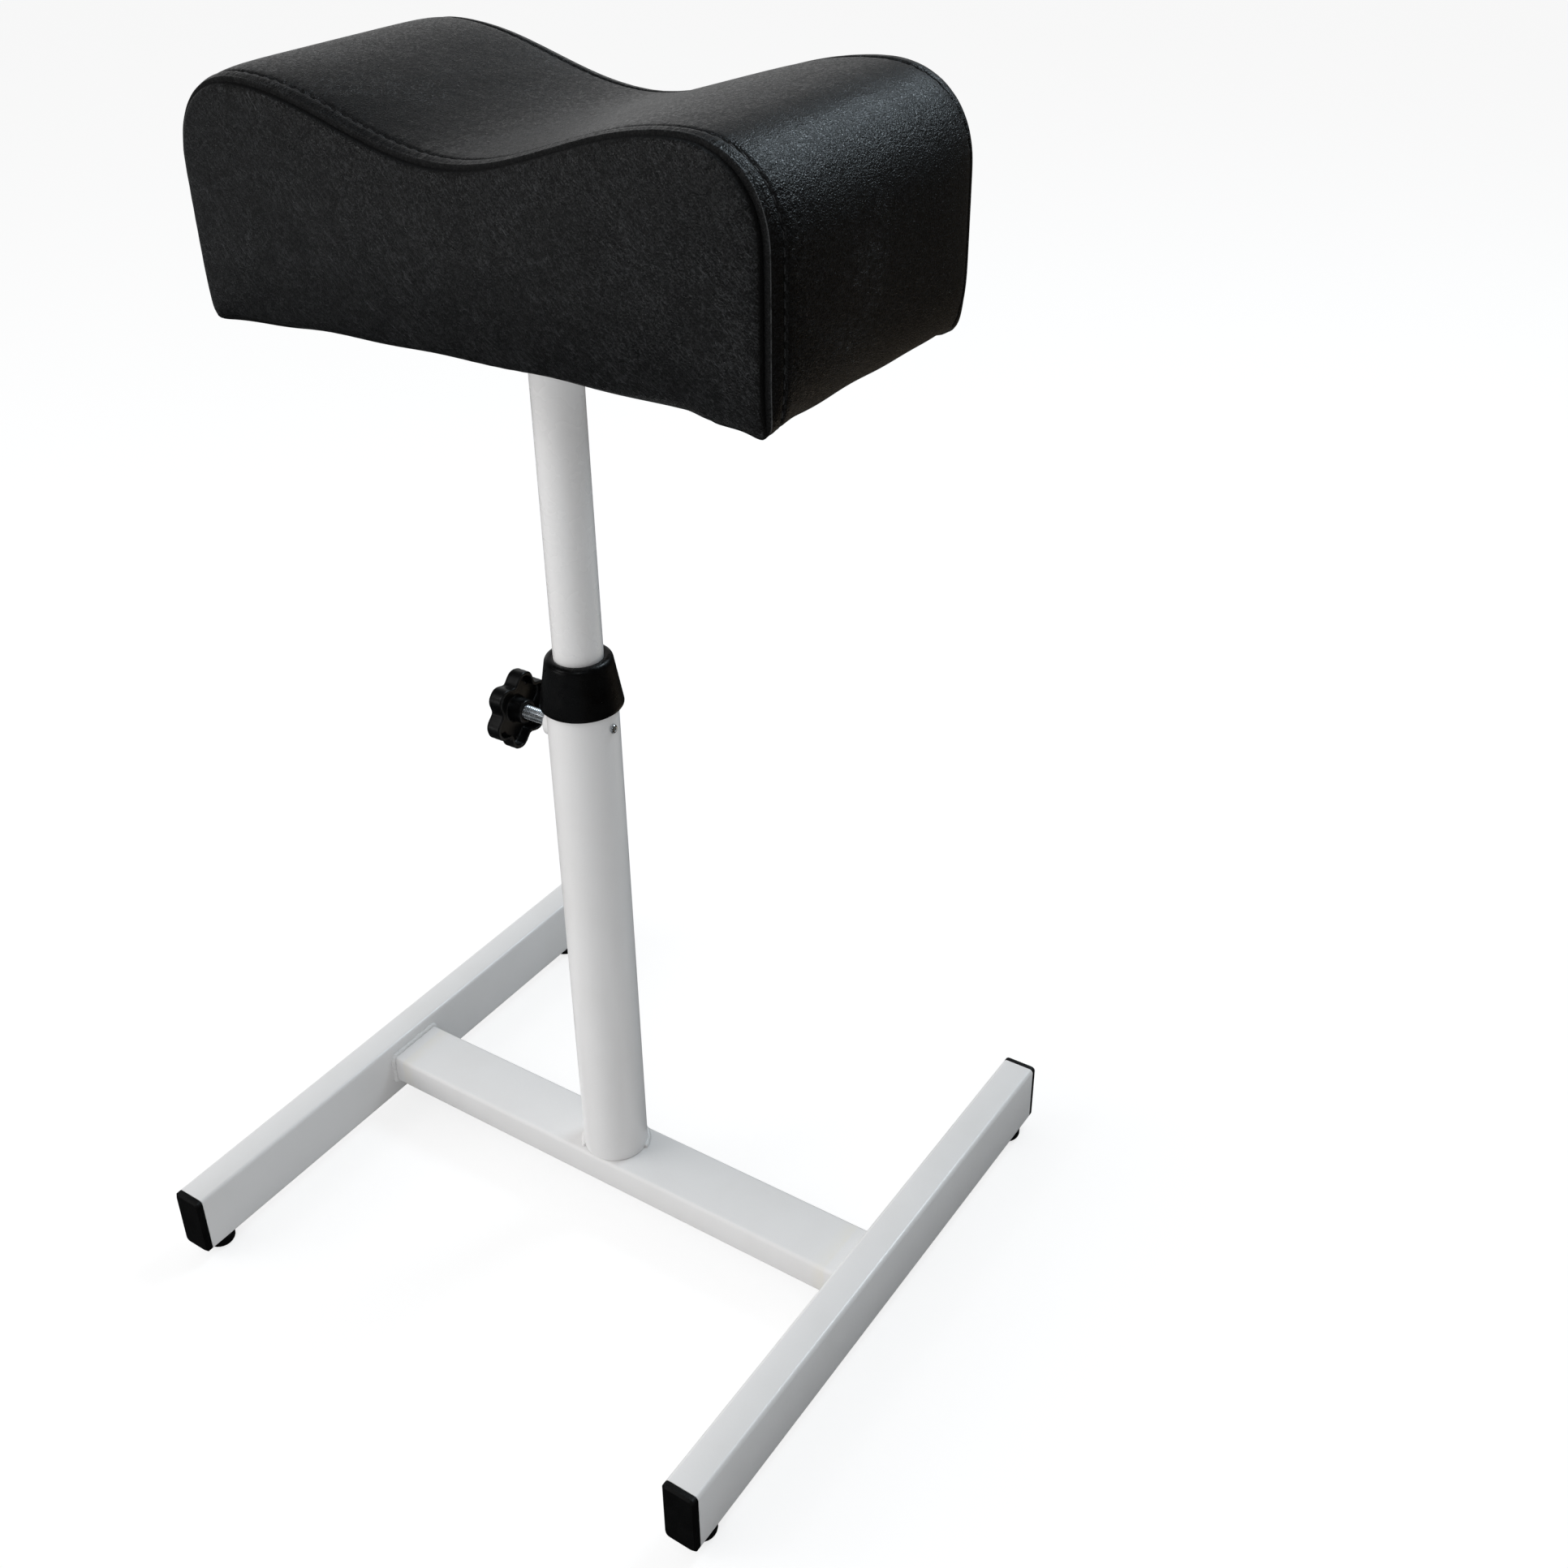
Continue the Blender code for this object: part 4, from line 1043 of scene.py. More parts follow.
def denseOutline(sizes):
    # Half the seam's outline in small steps, from the valley to the hem's middle.
    half, crest = sizes["seamWidth"] / 2, sizes["crestSpan"] / 2
    topSteps, turnSteps, sideSteps, footSteps, lowSteps = sizes["outline"]
    top = np.linspace(0, crest, topSteps)
    turn = np.linspace(0, np.pi / 2, turnSteps)[1:]
    shoulder = crest + (half - crest) * np.sin(turn)
    x = np.concatenate([top, shoulder])
    points = np.stack([x, seamTop(x, sizes)], 1)
    high = sizes["crestHeight"] - sizes["shoulderHeight"]
    share = np.linspace(0, 1, sideSteps)[1:]
    foot = sizes["footRound"]
    side = np.stack([half - sizes["sideTuck"] * share ** 2, high + (foot - high) * share], 1)
    middle = half - sizes["sideTuck"] - foot
    angle = np.linspace(0, -np.pi / 2, footSteps)[1:]
    bend = np.stack([middle + foot * np.cos(angle), foot + foot * np.sin(angle)], 1)
    low = middle * (1 - np.linspace(0, 1, lowSteps)[1:])
    return np.concatenate([points, side, bend, np.stack([low, low * 0], 1)])


def lengths(points):
    return np.concatenate([[0], np.cumsum(np.linalg.norm(np.diff(points, axis=0), axis=1))])


def spaced(points, first, last, count):
    # count + 1 evenly spaced points between two lengths along a line
    run = lengths(points)
    where = np.linspace(first, last, count + 1)
    return np.stack([np.interp(where, run, points[:, axis]) for axis in (0, 1)], 1)


def seamLoop(sizes):
    # The closed seam from the top left corner, clockwise as seen from the front.
    half = denseOutline(sizes)
    crest = sizes["crestSpan"] / 2
    bend = crest + (sizes["seamWidth"] / 2 - crest) * 0.5 ** (1 / sizes["shoulderPower"])
    run = lengths(half)
    cornerTop = run[np.argmax(half[:, 0] >= bend)]
    footSteps, lowSteps = sizes["outline"][3:]
    cornerLow = run[len(half) - (lowSteps - 1) - footSteps // 2]  # halfway round the foot
    top = spaced(half, 0, cornerTop, sizes["columns"] // 2)
    side = spaced(half, cornerTop, cornerLow, sizes["rows"])
    low = spaced(half, cornerLow, run[-1], sizes["columns"] // 2)
    right = np.concatenate([top[:-1], side[:-1], low])
    left = right[::-1][1:] * np.array([-1, 1])
    loop = np.concatenate([right, left[:-1]])
    return np.roll(loop, sizes["columns"] // 2, axis=0)


def outwards(loop):
    along = np.roll(loop, -1, axis=0) - np.roll(loop, 1, axis=0)
    along = along / np.linalg.norm(along, axis=1)[:, None]
    return np.stack([-along[:, 1], along[:, 0]], 1), along


def hemmed(points, sizes):
    # Near the hem the cover draws in and up. On the left the hem falls slowly to
    # its corners; elsewhere they hang as small flaps.
    x, y, z = points[..., 0], points[..., 1], points[..., 2]
    half, deep = sizes["seamWidth"] / 2, sizes["depth"] / 2
    panel = np.clip(1 - np.where(x > 0, 0.5, 1.0) * np.abs(x / half) ** 10, 0, None)
    side = np.clip(1 - np.abs(y / deep) ** 10, 0, None)
    hem = np.clip(1 - z / sizes["hemHeight"], 0, None) ** 2
    pull = sizes["hemTuck"] * hem
    slow = np.clip(1 - (x / half) ** 2, 0, None) ** 2
    flap = 1 - sum(share * smoothStep(x, first, last) for share, first, last in sizes["flaps"])
    lift = sizes["hemRise"] * np.where(x < 0, slow, flap)
    atSide = smoothStep(np.abs(x), *sizes["sideLift"]) * (1 - smoothStep(np.abs(y), *sizes["sideCorners"]))
    lift = hem * np.maximum(lift, sizes["sideRise"] * atSide)
    wave = np.sin(x * 95 + y * 130 + 0.6) + np.sin(x * 41 - y * 77)
    lift = lift + hem * sizes["hemWave"] * wave
    return np.stack([x * (1 - pull * side / half), y * (1 - pull * panel / deep), z + lift], -1)


def coons(ring, sizes):
    # Fills a ring of points with a grid, then evens it out.
    columns, rows = sizes["columns"], sizes["rows"]
    top = ring[:columns + 1]
    right = ring[columns:columns + rows + 1]
    low = ring[columns + rows:2 * columns + rows + 1][::-1]
    left = np.concatenate([ring[2 * columns + rows:], ring[:1]])[::-1]
    s = np.linspace(0, 1, columns + 1)[:, None, None]
    t = np.linspace(0, 1, rows + 1)[None, :, None]
    grid = (1 - t) * top[:, None] + t * low[:, None] + (1 - s) * left[None] + s * right[None]
    grid = grid - (1 - s) * (1 - t) * top[0] - s * (1 - t) * top[-1]
    grid = grid - (1 - s) * t * low[0] - s * t * low[-1]
    for _ in range(sizes["evenings"]):
        inner = grid[:-2, 1:-1] + grid[2:, 1:-1] + grid[1:-1, :-2] + grid[1:-1, 2:]
        grid[1:-1, 1:-1] = inner / 4
    return grid


def panelSwell(distance, sizes):
    # Share of the panel's crown at a distance from its seam.
    return 1 - np.exp(-distance / sizes["panelReach"])


class CoverForm:
    # The cover as rows: a strip round the pad, and two panels of rings and a grid.
    def __init__(self, sizes, seamSteps, panelSteps):
        self.sizes = sizes
        self.loop = seamLoop(sizes)
        self.count = len(self.loop)
        half = sizes["depth"] / 2
        front = [-half + step for step in seamSteps]
        self.depths = np.array(front + [-y for y in reversed(front[:-1])])
        self.steps = np.array(panelSteps)
        outward, self.along = outwards(self.loop)
        self.outward = outward
        self.rings = np.stack([self.loop - outward * step for step in panelSteps])
        self.grid = coons(self.rings[-1], sizes)
        gap = self.grid[:, :, None, :] - self.loop[None, None]
        gap = np.sqrt((gap ** 2).sum(-1))
        self.gridDistance, self.gridNearest = gap.min(-1), gap.argmin(-1)

    def strip(self, fullness):
        sizes = self.sizes
        share = np.abs(self.depths / (sizes["depth"] / 2))[:, None]
        tilt = np.abs(self.along[:, 1])[None]
        place = 0.5 + 0.5 * np.clip(self.loop[:, 0] * 2 / sizes["crestSpan"], -1, 1)[None]
        (topLeft, topRight), (left, right) = sizes["topCrown"], sizes["sideCrown"]
        top = topLeft + (topRight - topLeft) * place
        crown = top + (left + (right - left) * place - top) * tilt ** 2
        push = fullness * crown * (1 - share ** 8)
        flat = self.loop[None] + push[..., None] * self.outward[None]
        y = np.broadcast_to(self.depths[:, None], push.shape)
        return hemmed(np.stack([flat[..., 0], y, flat[..., 1]], -1), sizes)

    def panel(self, side, fullness):
        # side is -1 at the front and 1 at the back
        sizes = self.sizes
        crown = sizes["panelCrown"] * fullness
        half = sizes["depth"] / 2
        swell = half + crown * panelSwell(self.steps, sizes)
        ringY = side * swell[:, None] * np.ones((1, self.count))
        rings = np.stack([self.rings[..., 0], ringY, self.rings[..., 1]], -1)
        gridY = side * (half + crown * panelSwell(self.gridDistance, sizes))
        grid = np.stack([self.grid[..., 0], gridY, self.grid[..., 1]], -1)
        return hemmed(rings, sizes), hemmed(grid, sizes)

    def shape(self, fullness):
        made = {"strip": self.strip(fullness)}
        for name, side in (("front", -1), ("back", 1)):
            made[name + "Rings"], made[name + "Grid"] = self.panel(side, fullness)
        return made

    def numbering(self):
        # Which vertex each place of the rows and grids has; seams are shared.
        rows, count = len(self.depths), self.count
        columns, lines = self.sizes["columns"], self.sizes["rows"]
        strip = np.arange(rows * count).reshape(rows, count)
        following = rows * count
        numbers = {"strip": strip}
        for name, seam in (("front", strip[0]), ("back", strip[-1])):
            extra = len(self.steps) - 1
            rings = np.arange(following, following + extra * count).reshape(extra, count)
            following += extra * count
            rings = np.concatenate([seam[None], rings])
            grid = np.full((columns + 1, lines + 1), -1)
            edge = rings[-1]
            grid[:, 0] = edge[:columns + 1]
            grid[-1, :] = edge[columns:columns + lines + 1]
            grid[::-1, -1] = edge[columns + lines:2 * columns + lines + 1]
            grid[0, 1:][::-1] = edge[2 * columns + lines:]
            inner = (columns - 1) * (lines - 1)
            grid[1:-1, 1:-1] = np.arange(following, following + inner).reshape(columns - 1, lines - 1)
            following += inner
            numbers[name + "Rings"], numbers[name + "Grid"] = rings, grid
        return numbers, following

    def faces(self, numbers):
        made = []
        strip = numbers["strip"]
        after = np.roll(strip, -1, axis=1)
        made.append(quads(strip[:-1], after[:-1], after[1:], strip[1:]))
        for name, flip in (("front", False), ("back", True)):
            rings, grid = numbers[name + "Rings"], numbers[name + "Grid"]
            after = np.roll(rings, -1, axis=1)
            block = quads(rings[:-1], rings[1:], after[1:], after[:-1])
            made.append(block[:, ::-1] if flip else block)
            block = quads(grid[:-1, :-1], grid[:-1, 1:], grid[1:, 1:], grid[1:, :-1])
            made.append(block[:, ::-1] if flip else block)
        return np.concatenate(made)

    def points(self, shape, numbers, total):
        made = np.zeros((total, 3))
        for name in ("frontRings", "backRings", "frontGrid", "backGrid", "strip"):
            made[numbers[name].ravel()] = shape[name].reshape(-1, 3)
        return made


def quads(a, b, c, d):
    return np.stack([a.ravel(), b.ravel(), c.ravel(), d.ravel()], 1)


def quadMesh(name, points, faces):
    mesh = bpy.data.meshes.new(name)
    mesh.from_pydata([tuple(p) for p in points.tolist()], [], faces.tolist())
    mesh.update()
    return mesh


def pressedCover(form, settings):
    # Cloth, sewn down at the seams and the hem, is blown out a little by the
    # foam. Gives how far each place of the rows and grids moved.
    numbers, total = form.numbering()
    start = form.points(form.shape(settings["startFullness"]), numbers, total)
    mesh = quadMesh("coverTrial", start, form.faces(numbers))
    trial = placed("coverTrial", mesh)
    held = trial.vertex_groups.new(name="held")
    seams = set(numbers["strip"][0].tolist() + numbers["strip"][-1].tolist())
    hem = set(np.nonzero(start[:, 2] < form.sizes["hemRise"] + settings["heldRise"])[0].tolist())
    held.add(sorted(seams | hem), 1.0, "REPLACE")
    cloth = trial.modifiers.new("cloth", "CLOTH")
    cloth.settings.quality = settings["quality"]
    cloth.settings.mass = settings["mass"]
    for key in ("tension_stiffness", "compression_stiffness", "shear_stiffness"):
        setattr(cloth.settings, key, settings["stiffness"])
    cloth.settings.bending_stiffness = settings["bending"]
    cloth.settings.use_pressure = True
    cloth.settings.uniform_pressure_force = settings["pressure"]
    cloth.settings.effector_weights.gravity = 0
    cloth.settings.vertex_group_mass = "held"
    cloth.collision_settings.use_collision = False
    cloth.point_cache.frame_start = 1
    cloth.point_cache.frame_end = settings["frames"]
    for step in range(1, settings["frames"] + 1):
        bpy.context.scene.frame_set(step)
    ready = trial.evaluated_get(bpy.context.evaluated_depsgraph_get())
    after = np.array([v.co for v in ready.data.vertices])
    move = after - start
    size = np.linalg.norm(move, axis=1)
    middle = len(form.depths) // 2
    for place, found in (("top and sides", numbers["strip"][middle]), ("front", numbers["frontGrid"])):
        far = size[found] * 1000
        print("cover pressed out at the", place, "by", round(far.mean(), 2), "mm")
    move *= (np.minimum(size, settings["cap"]) / np.maximum(size, 1e-9))[:, None]
    bpy.data.objects.remove(trial)
    bpy.context.scene.frame_set(1)
    moves = {name: move[numbers[name]] for name in numbers}
    for _ in range(settings["calm"]):
        # The strip's small ripples are evened out along the seam.
        strip = moves["strip"]
        moves["strip"] = (np.roll(strip, 1, axis=1) + 2 * strip + np.roll(strip, -1, axis=1)) / 4
    return moves


def between(rows, places, wanted):
    # Rows of values at places, read off at the wanted places.
    flat = rows.reshape(len(rows), -1)
    made = np.stack([np.interp(wanted, places, column) for column in flat.T], 1)
    return made.reshape((len(wanted),) + rows.shape[1:])


def smoothStep(value, low, high):
    share = np.clip((value - low) / (high - low), 0, 1)
    return share * share * (3 - 2 * share)


seamRelief = {
    "groove": 0.0015,
    "grooveWidth": 0.0009,
    "edge": 0.0022,  # how far the cover rises beside the groove
    "edgeReach": 0.0068,
    "band": 0.0006,
    "bandStart": 0.0006,
    "bandGap": 0.0010,  # how much narrower the band is than the way to the stitches
    "fold": 0.0004,  # crisp edge of the folded strip
    "foldLine": 0.0017,
    "foldWidth": 0.0006,
    "stitchGroove": 0.0009,
    "stitchWidth": 0.0008,
    "roll": 0.0010,
    "rollWidth": 0.0042,
    "pucker": 0.00022,
    "puckerWaves": ((980, 0.0, 0.5), (617, 1.3, 0.5), (1490, 0.4, 0.3)),  # rate, phase and share
    "puckerReach": (0.004, 0.010),  # on the strip and on a panel
    "puckerStart": 0.0015,
    "hemFade": (0.0010, 0.0070),
}


def coverRelief(distance, along, height, relief, stitchLine):
    # How far the cover stands out beside its seams; the strip's side is positive.
    strip = distance >= 0
    gap = np.abs(distance)
    rise = relief["edge"] * (1 - np.exp(-gap / relief["edgeReach"]))
    rise = rise - relief["groove"] * np.exp(-(gap / relief["grooveWidth"]) ** 2)
    share = np.clip((gap - relief["bandStart"]) / (stitchLine - relief["bandGap"]), 0, 1)
    band = relief["band"] * np.sin(np.pi * share) ** 0.6
    band = band + relief["fold"] * np.exp(-((gap - relief["foldLine"]) / relief["foldWidth"]) ** 2)
    line = np.exp(-((gap - stitchLine) / relief["stitchWidth"]) ** 2)
    rise = rise + np.where(strip, band - relief["stitchGroove"] * line, 0)
    width = relief["rollWidth"]
    roll = gap / width * np.exp(1 - gap / width)
    rise = rise + np.where(strip, 0, relief["roll"] * roll)
    ripple = sum(np.sin(along * rate + phase) * part for rate, phase, part in relief["puckerWaves"])
    ripple = ripple * (0.6 + 0.4 * np.sin(along * 47 + 2.0))
    reach = np.where(strip, *relief["puckerReach"])
    nearby = np.exp(-gap / reach) * (1 - np.exp(-gap / relief["puckerStart"]))
    rise = rise + relief["pucker"] * ripple * nearby
    return rise * smoothStep(height, *relief["hemFade"])


def makeCushion(sizes, settings, relief):
    form = CoverForm(sizes, sizes["seamSteps"], sizes["panelSteps"])
    numbers, total = form.numbering()
    trial = CoverForm(sizes, sizes["simSteps"], sizes["simPanelSteps"])
    move = pressedCover(trial, settings)
    shape = form.shape(settings["startFullness"])
    shape["strip"] = shape["strip"] + between(move["strip"], trial.depths, form.depths)
    for name in ("front", "back"):
        rings = between(move[name + "Rings"], trial.steps, form.steps)
        shape[name + "Rings"] = shape[name + "Rings"] + rings
        shape[name + "Grid"] = shape[name + "Grid"] + move[name + "Grid"]
    points = form.points(shape, numbers, total)
    mesh = quadMesh("cushionCover", points, form.faces(numbers))
    run = np.zeros(total)
    distance = np.zeros(total)
    loop = form.loop
    edge = np.linalg.norm(np.roll(loop, -1, axis=0) - loop, axis=1)
    # Counted both ways from one place, so that it has no jump.
    length = np.abs(np.concatenate([[0], np.cumsum(edge)[:-1]]) - edge.sum() / 2)
    half = sizes["depth"] / 2
    for name in ("front", "back"):
        run[numbers[name + "Rings"]] = length[None]
        distance[numbers[name + "Rings"]] = -form.steps[:, None]
        grid = numbers[name + "Grid"]
        distance[grid[1:-1, 1:-1]] = -form.gridDistance[1:-1, 1:-1]
        run[grid[1:-1, 1:-1]] = length[form.gridNearest[1:-1, 1:-1]]
    run[numbers["strip"]] = length[None]
    distance[numbers["strip"]] = (half - np.abs(form.depths))[:, None]
    normals = np.array([v.normal for v in mesh.vertices])
    rise = coverRelief(distance, run, points[:, 2], relief, sizes["stitchLine"])
    points = points + normals * rise[:, None]
    mesh.vertices.foreach_set("co", points.ravel())
    for name, values in (("seamDistance", distance), ("seamAlong", run)):
        mesh.attributes.new(name, "FLOAT", "POINT").data.foreach_set("value", values)
    mesh.transform(padPlace(sizes))
    mesh.update()
    mesh.shade_smooth()
    finer = placed("coverFiner", mesh)
    subdivision = finer.modifiers.new("finer", "SUBSURF")
    subdivision.levels = subdivision.render_levels = 1
    # The lines of vertices that the stitches follow, at the front and the back.
    index = int(np.argmin(np.abs(form.depths - (-half + sizes["stitchLine"]))))
    lines = {"front": numbers["strip"][index], "back": numbers["strip"][-1 - index]}
    return applied(finer), lines


def padPlace(sizes):
    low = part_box("cushion")[0].z
    shift = Matrix.Translation((*sizes["shift"], low))
    return Matrix.Rotation(sizes["turn"], 4, "Z") @ shift


def cutPocket(mesh, sizes):
    # Room for the board, in the shape of the board with a small gap.
    low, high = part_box("seat_board")
    width, depth, corner = sizes["board"]
    gap = sizes["boardGap"]
    outline = roundedBox(width + 2 * gap, depth + 2 * gap, corner + gap)
    top = low.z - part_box("cushion")[0].z + (high.z - low.z) + gap
    form = bmesh.new()
    prism(form, *[[(x, y, z) for x, y in outline] for z in (sizes["pocketLow"], top)])
    bmesh.ops.transform(form, matrix=padPlace(sizes), verts=form.verts)
    # After the cut each vertex takes the seam's values from the nearest one before it.
    names = ("seamDistance", "seamAlong")
    tree = KDTree(len(mesh.vertices))
    for vertex in mesh.vertices:
        tree.insert(vertex.co, vertex.index)
    tree.balance()
    kept = {}
    for name in names:
        kept[name] = np.zeros(len(mesh.vertices))
        mesh.attributes[name].data.foreach_get("value", kept[name])
    made = cutMesh("cushionCover", mesh, meshFrom(form, "pocketBlock"))
    nearest = [tree.find(vertex.co)[1] for vertex in made.vertices]
    for name in names:
        if name in made.attributes:
            made.attributes.remove(made.attributes[name])
        made.attributes.new(name, "FLOAT", "POINT").data.foreach_set("value", kept[name][nearest])
    return made


coverMesh, stitchLines = makeCushion(padSizes, clothSettings, seamRelief)
stitchPaths = {}
for side, line in stitchLines.items():
    spots = [coverMesh.vertices[index].co.copy() for index in line]
    rises = [coverMesh.vertices[index].normal.copy() for index in line]
    stitchPaths[side] = (spots, rises)
cushionMesh = cutPocket(coverMesh, padSizes)
smoothMesh(cushionMesh, 60)
cushion = addPiece("cushionCover", cushionMesh, "leather", "head", "leatherette", "cushion")
print("cushion made with", len(cushionMesh.polygons), "faces")

# Top stitching beside both seams, over the top and down the sides.
stitchSizes = {
    "spacing": 0.0064,
    "length": 0.0045,
    "radius": 0.00044,
    "dip": 0.0007,
    "loose": 0.04,
    "sink": 0.0001,
    "hemGap": 0.004,
}


def stitchMesh(sizes):
    # One stitch: a thread that dips into its holes at both ends.
    rings = []
    for step in range(7):
        share = step / 3 - 1
        x = share * sizes["length"] / 2
        dip = -sizes["dip"] * share ** 4
        thick = sizes["radius"] * (1 - 0.35 * share ** 4)
        angles = [math.tau * side / 6 for side in range(6)]
        rings.append([(x, thick * math.cos(a), dip + thick * math.sin(a)) for a in angles])
    form = bmesh.new()
    prism(form, *rings)
    return meshFrom(form, "stitch")


def makeRow(name, pattern, spots, rises, sizes, seed, closed=False):
    # The pattern in a row along the spots, standing on their rises.
    path = lineMesh(name + "Path", spots, closed)
    attribute = path.attributes.new("rise", "FLOAT_VECTOR", "POINT")
    attribute.data.foreach_set("vector", [value for rise in rises for value in rise])
    holder = placed(name + "Pattern", pattern)
    values = {"Piece": holder, "Spacing": sizes["spacing"], "Loose": sizes["loose"], "Seed": seed}
    mesh = grow(name, rowTree, values, path)
    bpy.data.objects.remove(holder)
    return mesh


def makeStitches(sizes):
    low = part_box("cushion")[0].z
    # The path runs from the left hem over the top to the right hem.
    columns, rows = padSizes["columns"], padSizes["rows"]
    order = list(range(2 * columns + rows, 2 * (columns + rows))) + list(range(columns + rows + 1))
    for seed, (side, (spots, rises)) in enumerate(stitchPaths.items()):
        keep = [index for index in order if spots[index].z > low + sizes["hemGap"]]
        line = [spots[index] + rises[index] * sizes["sink"] for index in keep]
        risen = [rises[index] for index in keep]
        mesh = makeRow("stitches", stitchMesh(sizes), line, risen, sizes, seed + 3)
        mesh.shade_smooth()
        addPiece("topStitch" + side.capitalize(), mesh, "thread", "head", "leatherette")


makeStitches(stitchSizes)
print("stitches sewn")

# Dust cover under the board, stapled along its edge.
sheetSizes = {
    "width": 0.2940,
    "depth": 0.1180,
    "thickness": 0.0005,
    "cells": (60, 24),
    "cornerPull": 0.022,
    "slack": (0.00011, 0.00008),
}
stapleSizes = {
    "width": 0.0095,
    "leg": 0.0016,
    "wire": 0.00035,
    "inset": 0.0055,
    "corner": 0.006,
    "spacing": 0.0290,
    "loose": 0.0,
}


def makeDustCover(sizes):
    low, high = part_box("dust_cover")
    place = Matrix.Rotation(padSizes["turn"], 4, "Z")
    place = place @ Matrix.Translation((*padSizes["shift"], low.z))
    across, deep = sizes["cells"]
    long, short = sizes["slack"]
    form = bmesh.new()
    rows = []
    for i in range(across + 1):
        row = []
        for j in range(deep + 1):
            s, t = 2 * i / across - 1, 2 * j / deep - 1
            x, y = s * sizes["width"] / 2, t * sizes["depth"] / 2
            # Rounded corners, and a little slack between the staples.
            pull = 1 - sizes["cornerPull"] * (s * t) ** 8
            wave = long * math.sin(x * 61 + y * 23) + short * math.sin(y * 96 - x * 31)
            wave *= (1 - s ** 6) * (1 - t ** 6)
            z = (high.z - low.z) / 2 + wave - sizes["thickness"] / 2
            row.append(form.verts.new((x * pull, y * pull, z)))
        rows.append(row)
    for i in range(across):
        for j in range(deep):
            form.faces.new((rows[i][j], rows[i + 1][j], rows[i + 1][j + 1], rows[i][j + 1]))
    bmesh.ops.transform(form, matrix=place, verts=form.verts)
    mesh = meshFrom(form, "dustSheet")
    mesh.shade_smooth()
    piece = addPiece("dustSheet", mesh, "cloth", "head", "cloth", "dust_cover")
    wall = piece.modifiers.new("wall", "SOLIDIFY")
    wall.thickness, wall.offset = sizes["thickness"], 1.0
    return place


def stapleMesh(sizes):
    # A flat crown of wire along X, with its legs going up into the board.
    half, wire, leg = sizes["width"] / 2, sizes["wire"], sizes["leg"]
    outline = [(-half, leg), (-half, 0.0), (half, 0.0), (half, leg)]
    outline += [(half - wire, leg), (half - wire, wire), (-half + wire, wire), (-half + wire, leg)]
    form = bmesh.new()
    prism(form, *[[(x, y, z) for x, z in outline] for y in (-wire, wire)])
    return meshFrom(form, "staple")


def makeStaples(sizes, place):
    inset = 2 * sizes["inset"]
    ring = roundedBox(sheetSizes["width"] - inset, sheetSizes["depth"] - inset, sizes["corner"])
    spots = [place @ Vector((x, y, -sizes["wire"] + 0.0001)) for x, y in ring]
    mesh = makeRow("staples", stapleMesh(sizes), spots, [(0, 0, 1)] * len(spots), sizes, 9, True)
    addPiece("coverStaples", mesh, "zinc", "head", "zinc")


makeStaples(stapleSizes, makeDustCover(sheetSizes))
print("dust cover and staples made")

# Studio: a pale floor, a soft sky that is brighter at the front left, and lamps.
studio = {
    "floorSize": 12.0,
    "floorColour": (0.86, 0.86, 0.86),
    "floorShade": 0.30,  # share of the floor's white that a shadow can take
    "floorGlow": 0.76,
    "floorMirror": (0.095, 0.045),  # level and swing of the floor that reflections see
    "skyLevel": 0.53,
    "skySwing": 0.53,
    "brightSide": (-0.84, -0.54, 0.10),
    "skyMirror": (0.06, 0.62),  # lowest and highest level that reflections see
    "window": (-0.74, 0.67, 0.04),
    "windowSpread": (0.78, 0.995),
    "frontWall": (-0.50, -0.86, 0.00),
    "frontWallSpread": (0.91, 0.995),
    "frontWallLevel": 1.6,
    "backWindow": (0.33, 0.66, 0.68),
    "backWindowSpread": (0.945, 0.99),
    "backWindowLevel": 1.35,
    "backWindowColour": (0.72, 0.88, 1.0),
    # bright places on the floor, seen in reflections: where, the spread and the level
    "floorPatches": [
        ((0.42, -0.98, 0.0), (0.85, 0.20), 0.42),
        ((0.32, 0.56, 0.0), (0.38, 0.10), 0.50),
        ((-0.60, -0.85, 0.0), (0.80, 0.15), 0.05),
    ],
    "warmSide": (0.95, 0.80, 0.62),
    "coolSide": (0.92, 0.97, 1.0),
    "nearFloor": (0.70, 1.20, 0.20, 1.0),  # the mirrored floor is darker round the object
    "lampTarget": (0, 0, 0.4),
    # each lamp's place, size, power and colour, and whether it is seen in reflections
    "lamps": {
        "keyLight": ((-2.1, -1.5, 1.15), 1.3, 17, (1.0, 0.99, 0.98), False),
        "backLight": ((0.52, 1.38, 2.00), 0.6, 15, (0.78, 0.91, 1.0), True),
        "frontLight": ((0.9, -1.25, 1.9), 0.5, 3.0, (0.86, 0.94, 1.0), True),
        "sparkLight": ((-1.1, -1.55, 1.9), 0.5, 5.0, (1.0, 1.0, 1.0), True),
    },
}


def seenRays(start):
    rays = start.node("ShaderNodeLightPath", output="Is Camera Ray")
    mirrored = start.maths("MAXIMUM", rays.other("Is Glossy Ray"), rays.other("Is Transmission Ray"))
    return rays, mirrored


def newGlow(start, hue, level):
    return start.node("ShaderNodeEmission", None, {"Color": hue, "Strength": level})


def towards(way, side):
    # 1 where a direction points to the side, and -1 where it points away.
    return way.vector("DOT_PRODUCT", Vector(side).normalized(), output=1)


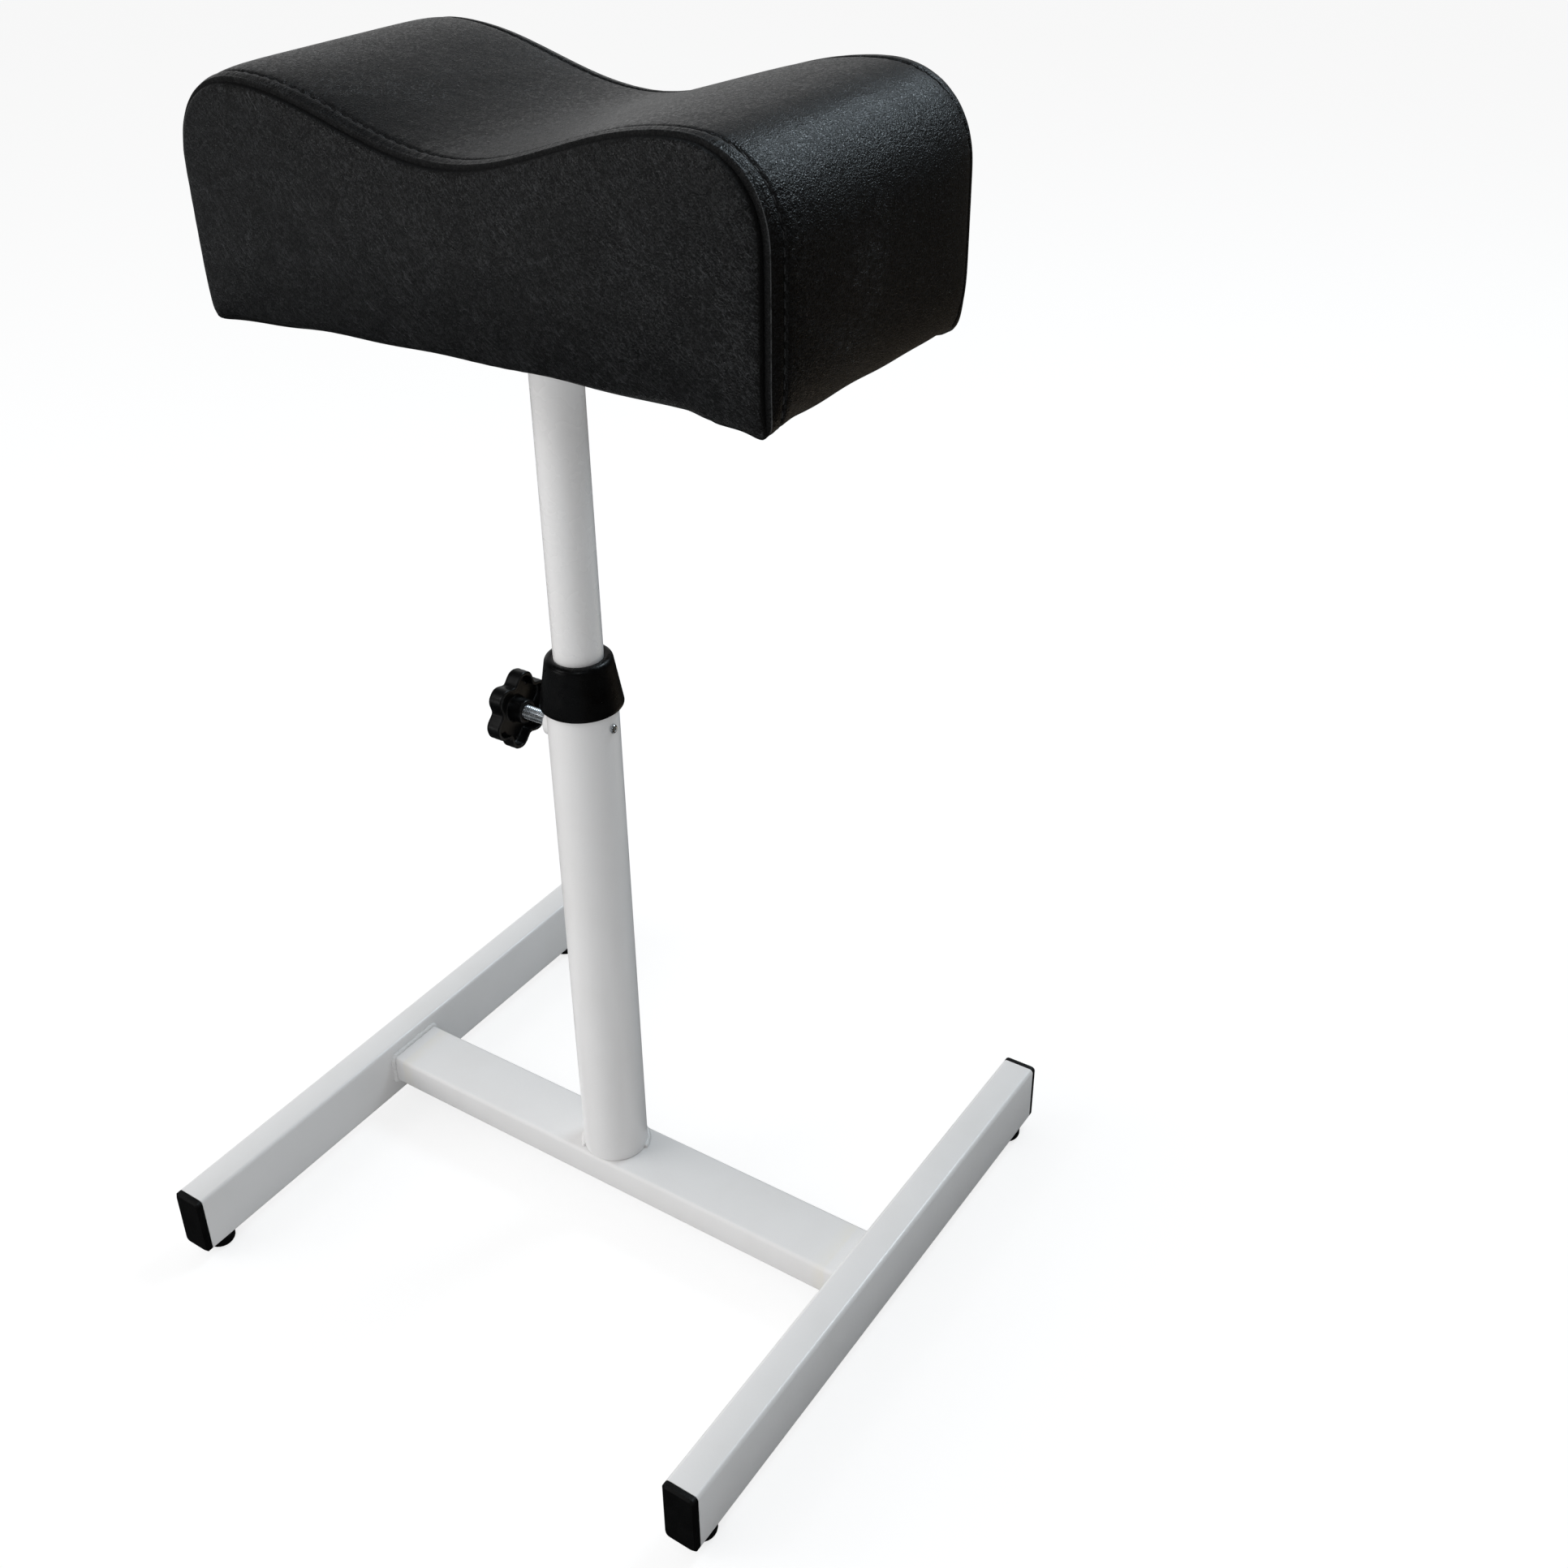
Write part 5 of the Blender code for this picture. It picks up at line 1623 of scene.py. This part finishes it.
def makeFloor(settings):
    half = settings["floorSize"] / 2
    mesh = bpy.data.meshes.new("studioFloor")
    corners = [(-half, -half), (half, -half), (half, half), (-half, half)]
    mesh.from_pydata([(x, y, -0.0003) for x, y in corners], [], [(0, 1, 2, 3)])
    look = bpy.data.materials.new("studioFloor")
    look.use_nodes = True
    tree = look.node_tree
    tree.nodes.clear()
    start = Signal(tree)
    camera, mirrored = seenRays(start)
    place = start.node("ShaderNodeNewGeometry", output="Position")
    lean = towards(place, settings["brightSide"]).ranged(-1.0, 1.0, -1.0, 1.0)
    mirror = lean * settings["floorMirror"][1] + settings["floorMirror"][0]
    mirror = mirror * place.vector("LENGTH", output=1).ranged(*settings["nearFloor"])
    for middle, spread, level in settings["floorPatches"]:
        mirror = mirror + place.vector("DISTANCE", middle, output=1).ranged(*spread) * level
    hue = lean.ranged(-0.9, 0.1).blend(settings["warmSide"], settings["coolSide"])
    matt = start.node("ShaderNodeBsdfDiffuse", None, {"Color": (*settings["floorColour"], 1)})
    shade = settings["floorShade"]
    shaded = start.node("ShaderNodeBsdfDiffuse", None, {"Color": (shade, shade, shade, 1)})
    glow = newGlow(start, (1, 1, 1, 1), settings["floorGlow"])
    bright = start.node("ShaderNodeAddShader", None, {0: shaded, 1: glow})
    inputs = {0: mirrored, 1: matt, 2: newGlow(start, hue, mirror)}
    body = start.node("ShaderNodeMixShader", None, inputs)
    body = start.node("ShaderNodeMixShader", None, {0: camera, 1: body, 2: bright})
    leave = tree.nodes.new("ShaderNodeOutputMaterial")
    body.feed(leave, "Surface")
    mesh.materials.append(look)
    placed("studioFloor", mesh)


def makeSky(settings):
    world = bpy.data.worlds.new("studioSky")
    bpy.context.scene.world = world
    world.use_nodes = True
    tree = world.node_tree
    tree.nodes.clear()
    start = Signal(tree)
    camera, mirrored = seenRays(start)
    way = start.node("ShaderNodeTexCoord", output="Generated")
    soft = towards(way, settings["brightSide"]) * settings["skySwing"] + settings["skyLevel"]
    mirror = towards(way, settings["window"]).ranged(*settings["windowSpread"], *settings["skyMirror"])
    wall = towards(way, settings["frontWall"]).ranged(*settings["frontWallSpread"])
    back = towards(way, settings["backWindow"]).ranged(*settings["backWindowSpread"])
    mirror = mirror + wall * settings["frontWallLevel"] + back * settings["backWindowLevel"]
    hue = (back * mirrored).blend((1, 1, 1), settings["backWindowColour"])
    level = mirrored * mirror + (1 - mirrored) * soft
    level = start.maths("MAXIMUM", level, camera)
    sky = start.node("ShaderNodeBackground", None, {"Color": hue, "Strength": level})
    sky.feed(tree.nodes.new("ShaderNodeOutputWorld"), "Surface")


def makeLamps(settings):
    target = Vector(settings["lampTarget"])
    for name, (place, size, power, hue, mirrored) in settings["lamps"].items():
        data = bpy.data.lights.new(name, "AREA")
        data.shape, data.size = "SQUARE", size
        data.energy, data.color = power, hue
        made = placed(name, data)
        made.location = place
        made.visible_glossy = mirrored
        made.rotation_euler = (target - Vector(place)).to_track_quat("-Z", "Y").to_euler()


makeFloor(studio)
makeSky(studio)
makeLamps(studio)
print("studio lit")
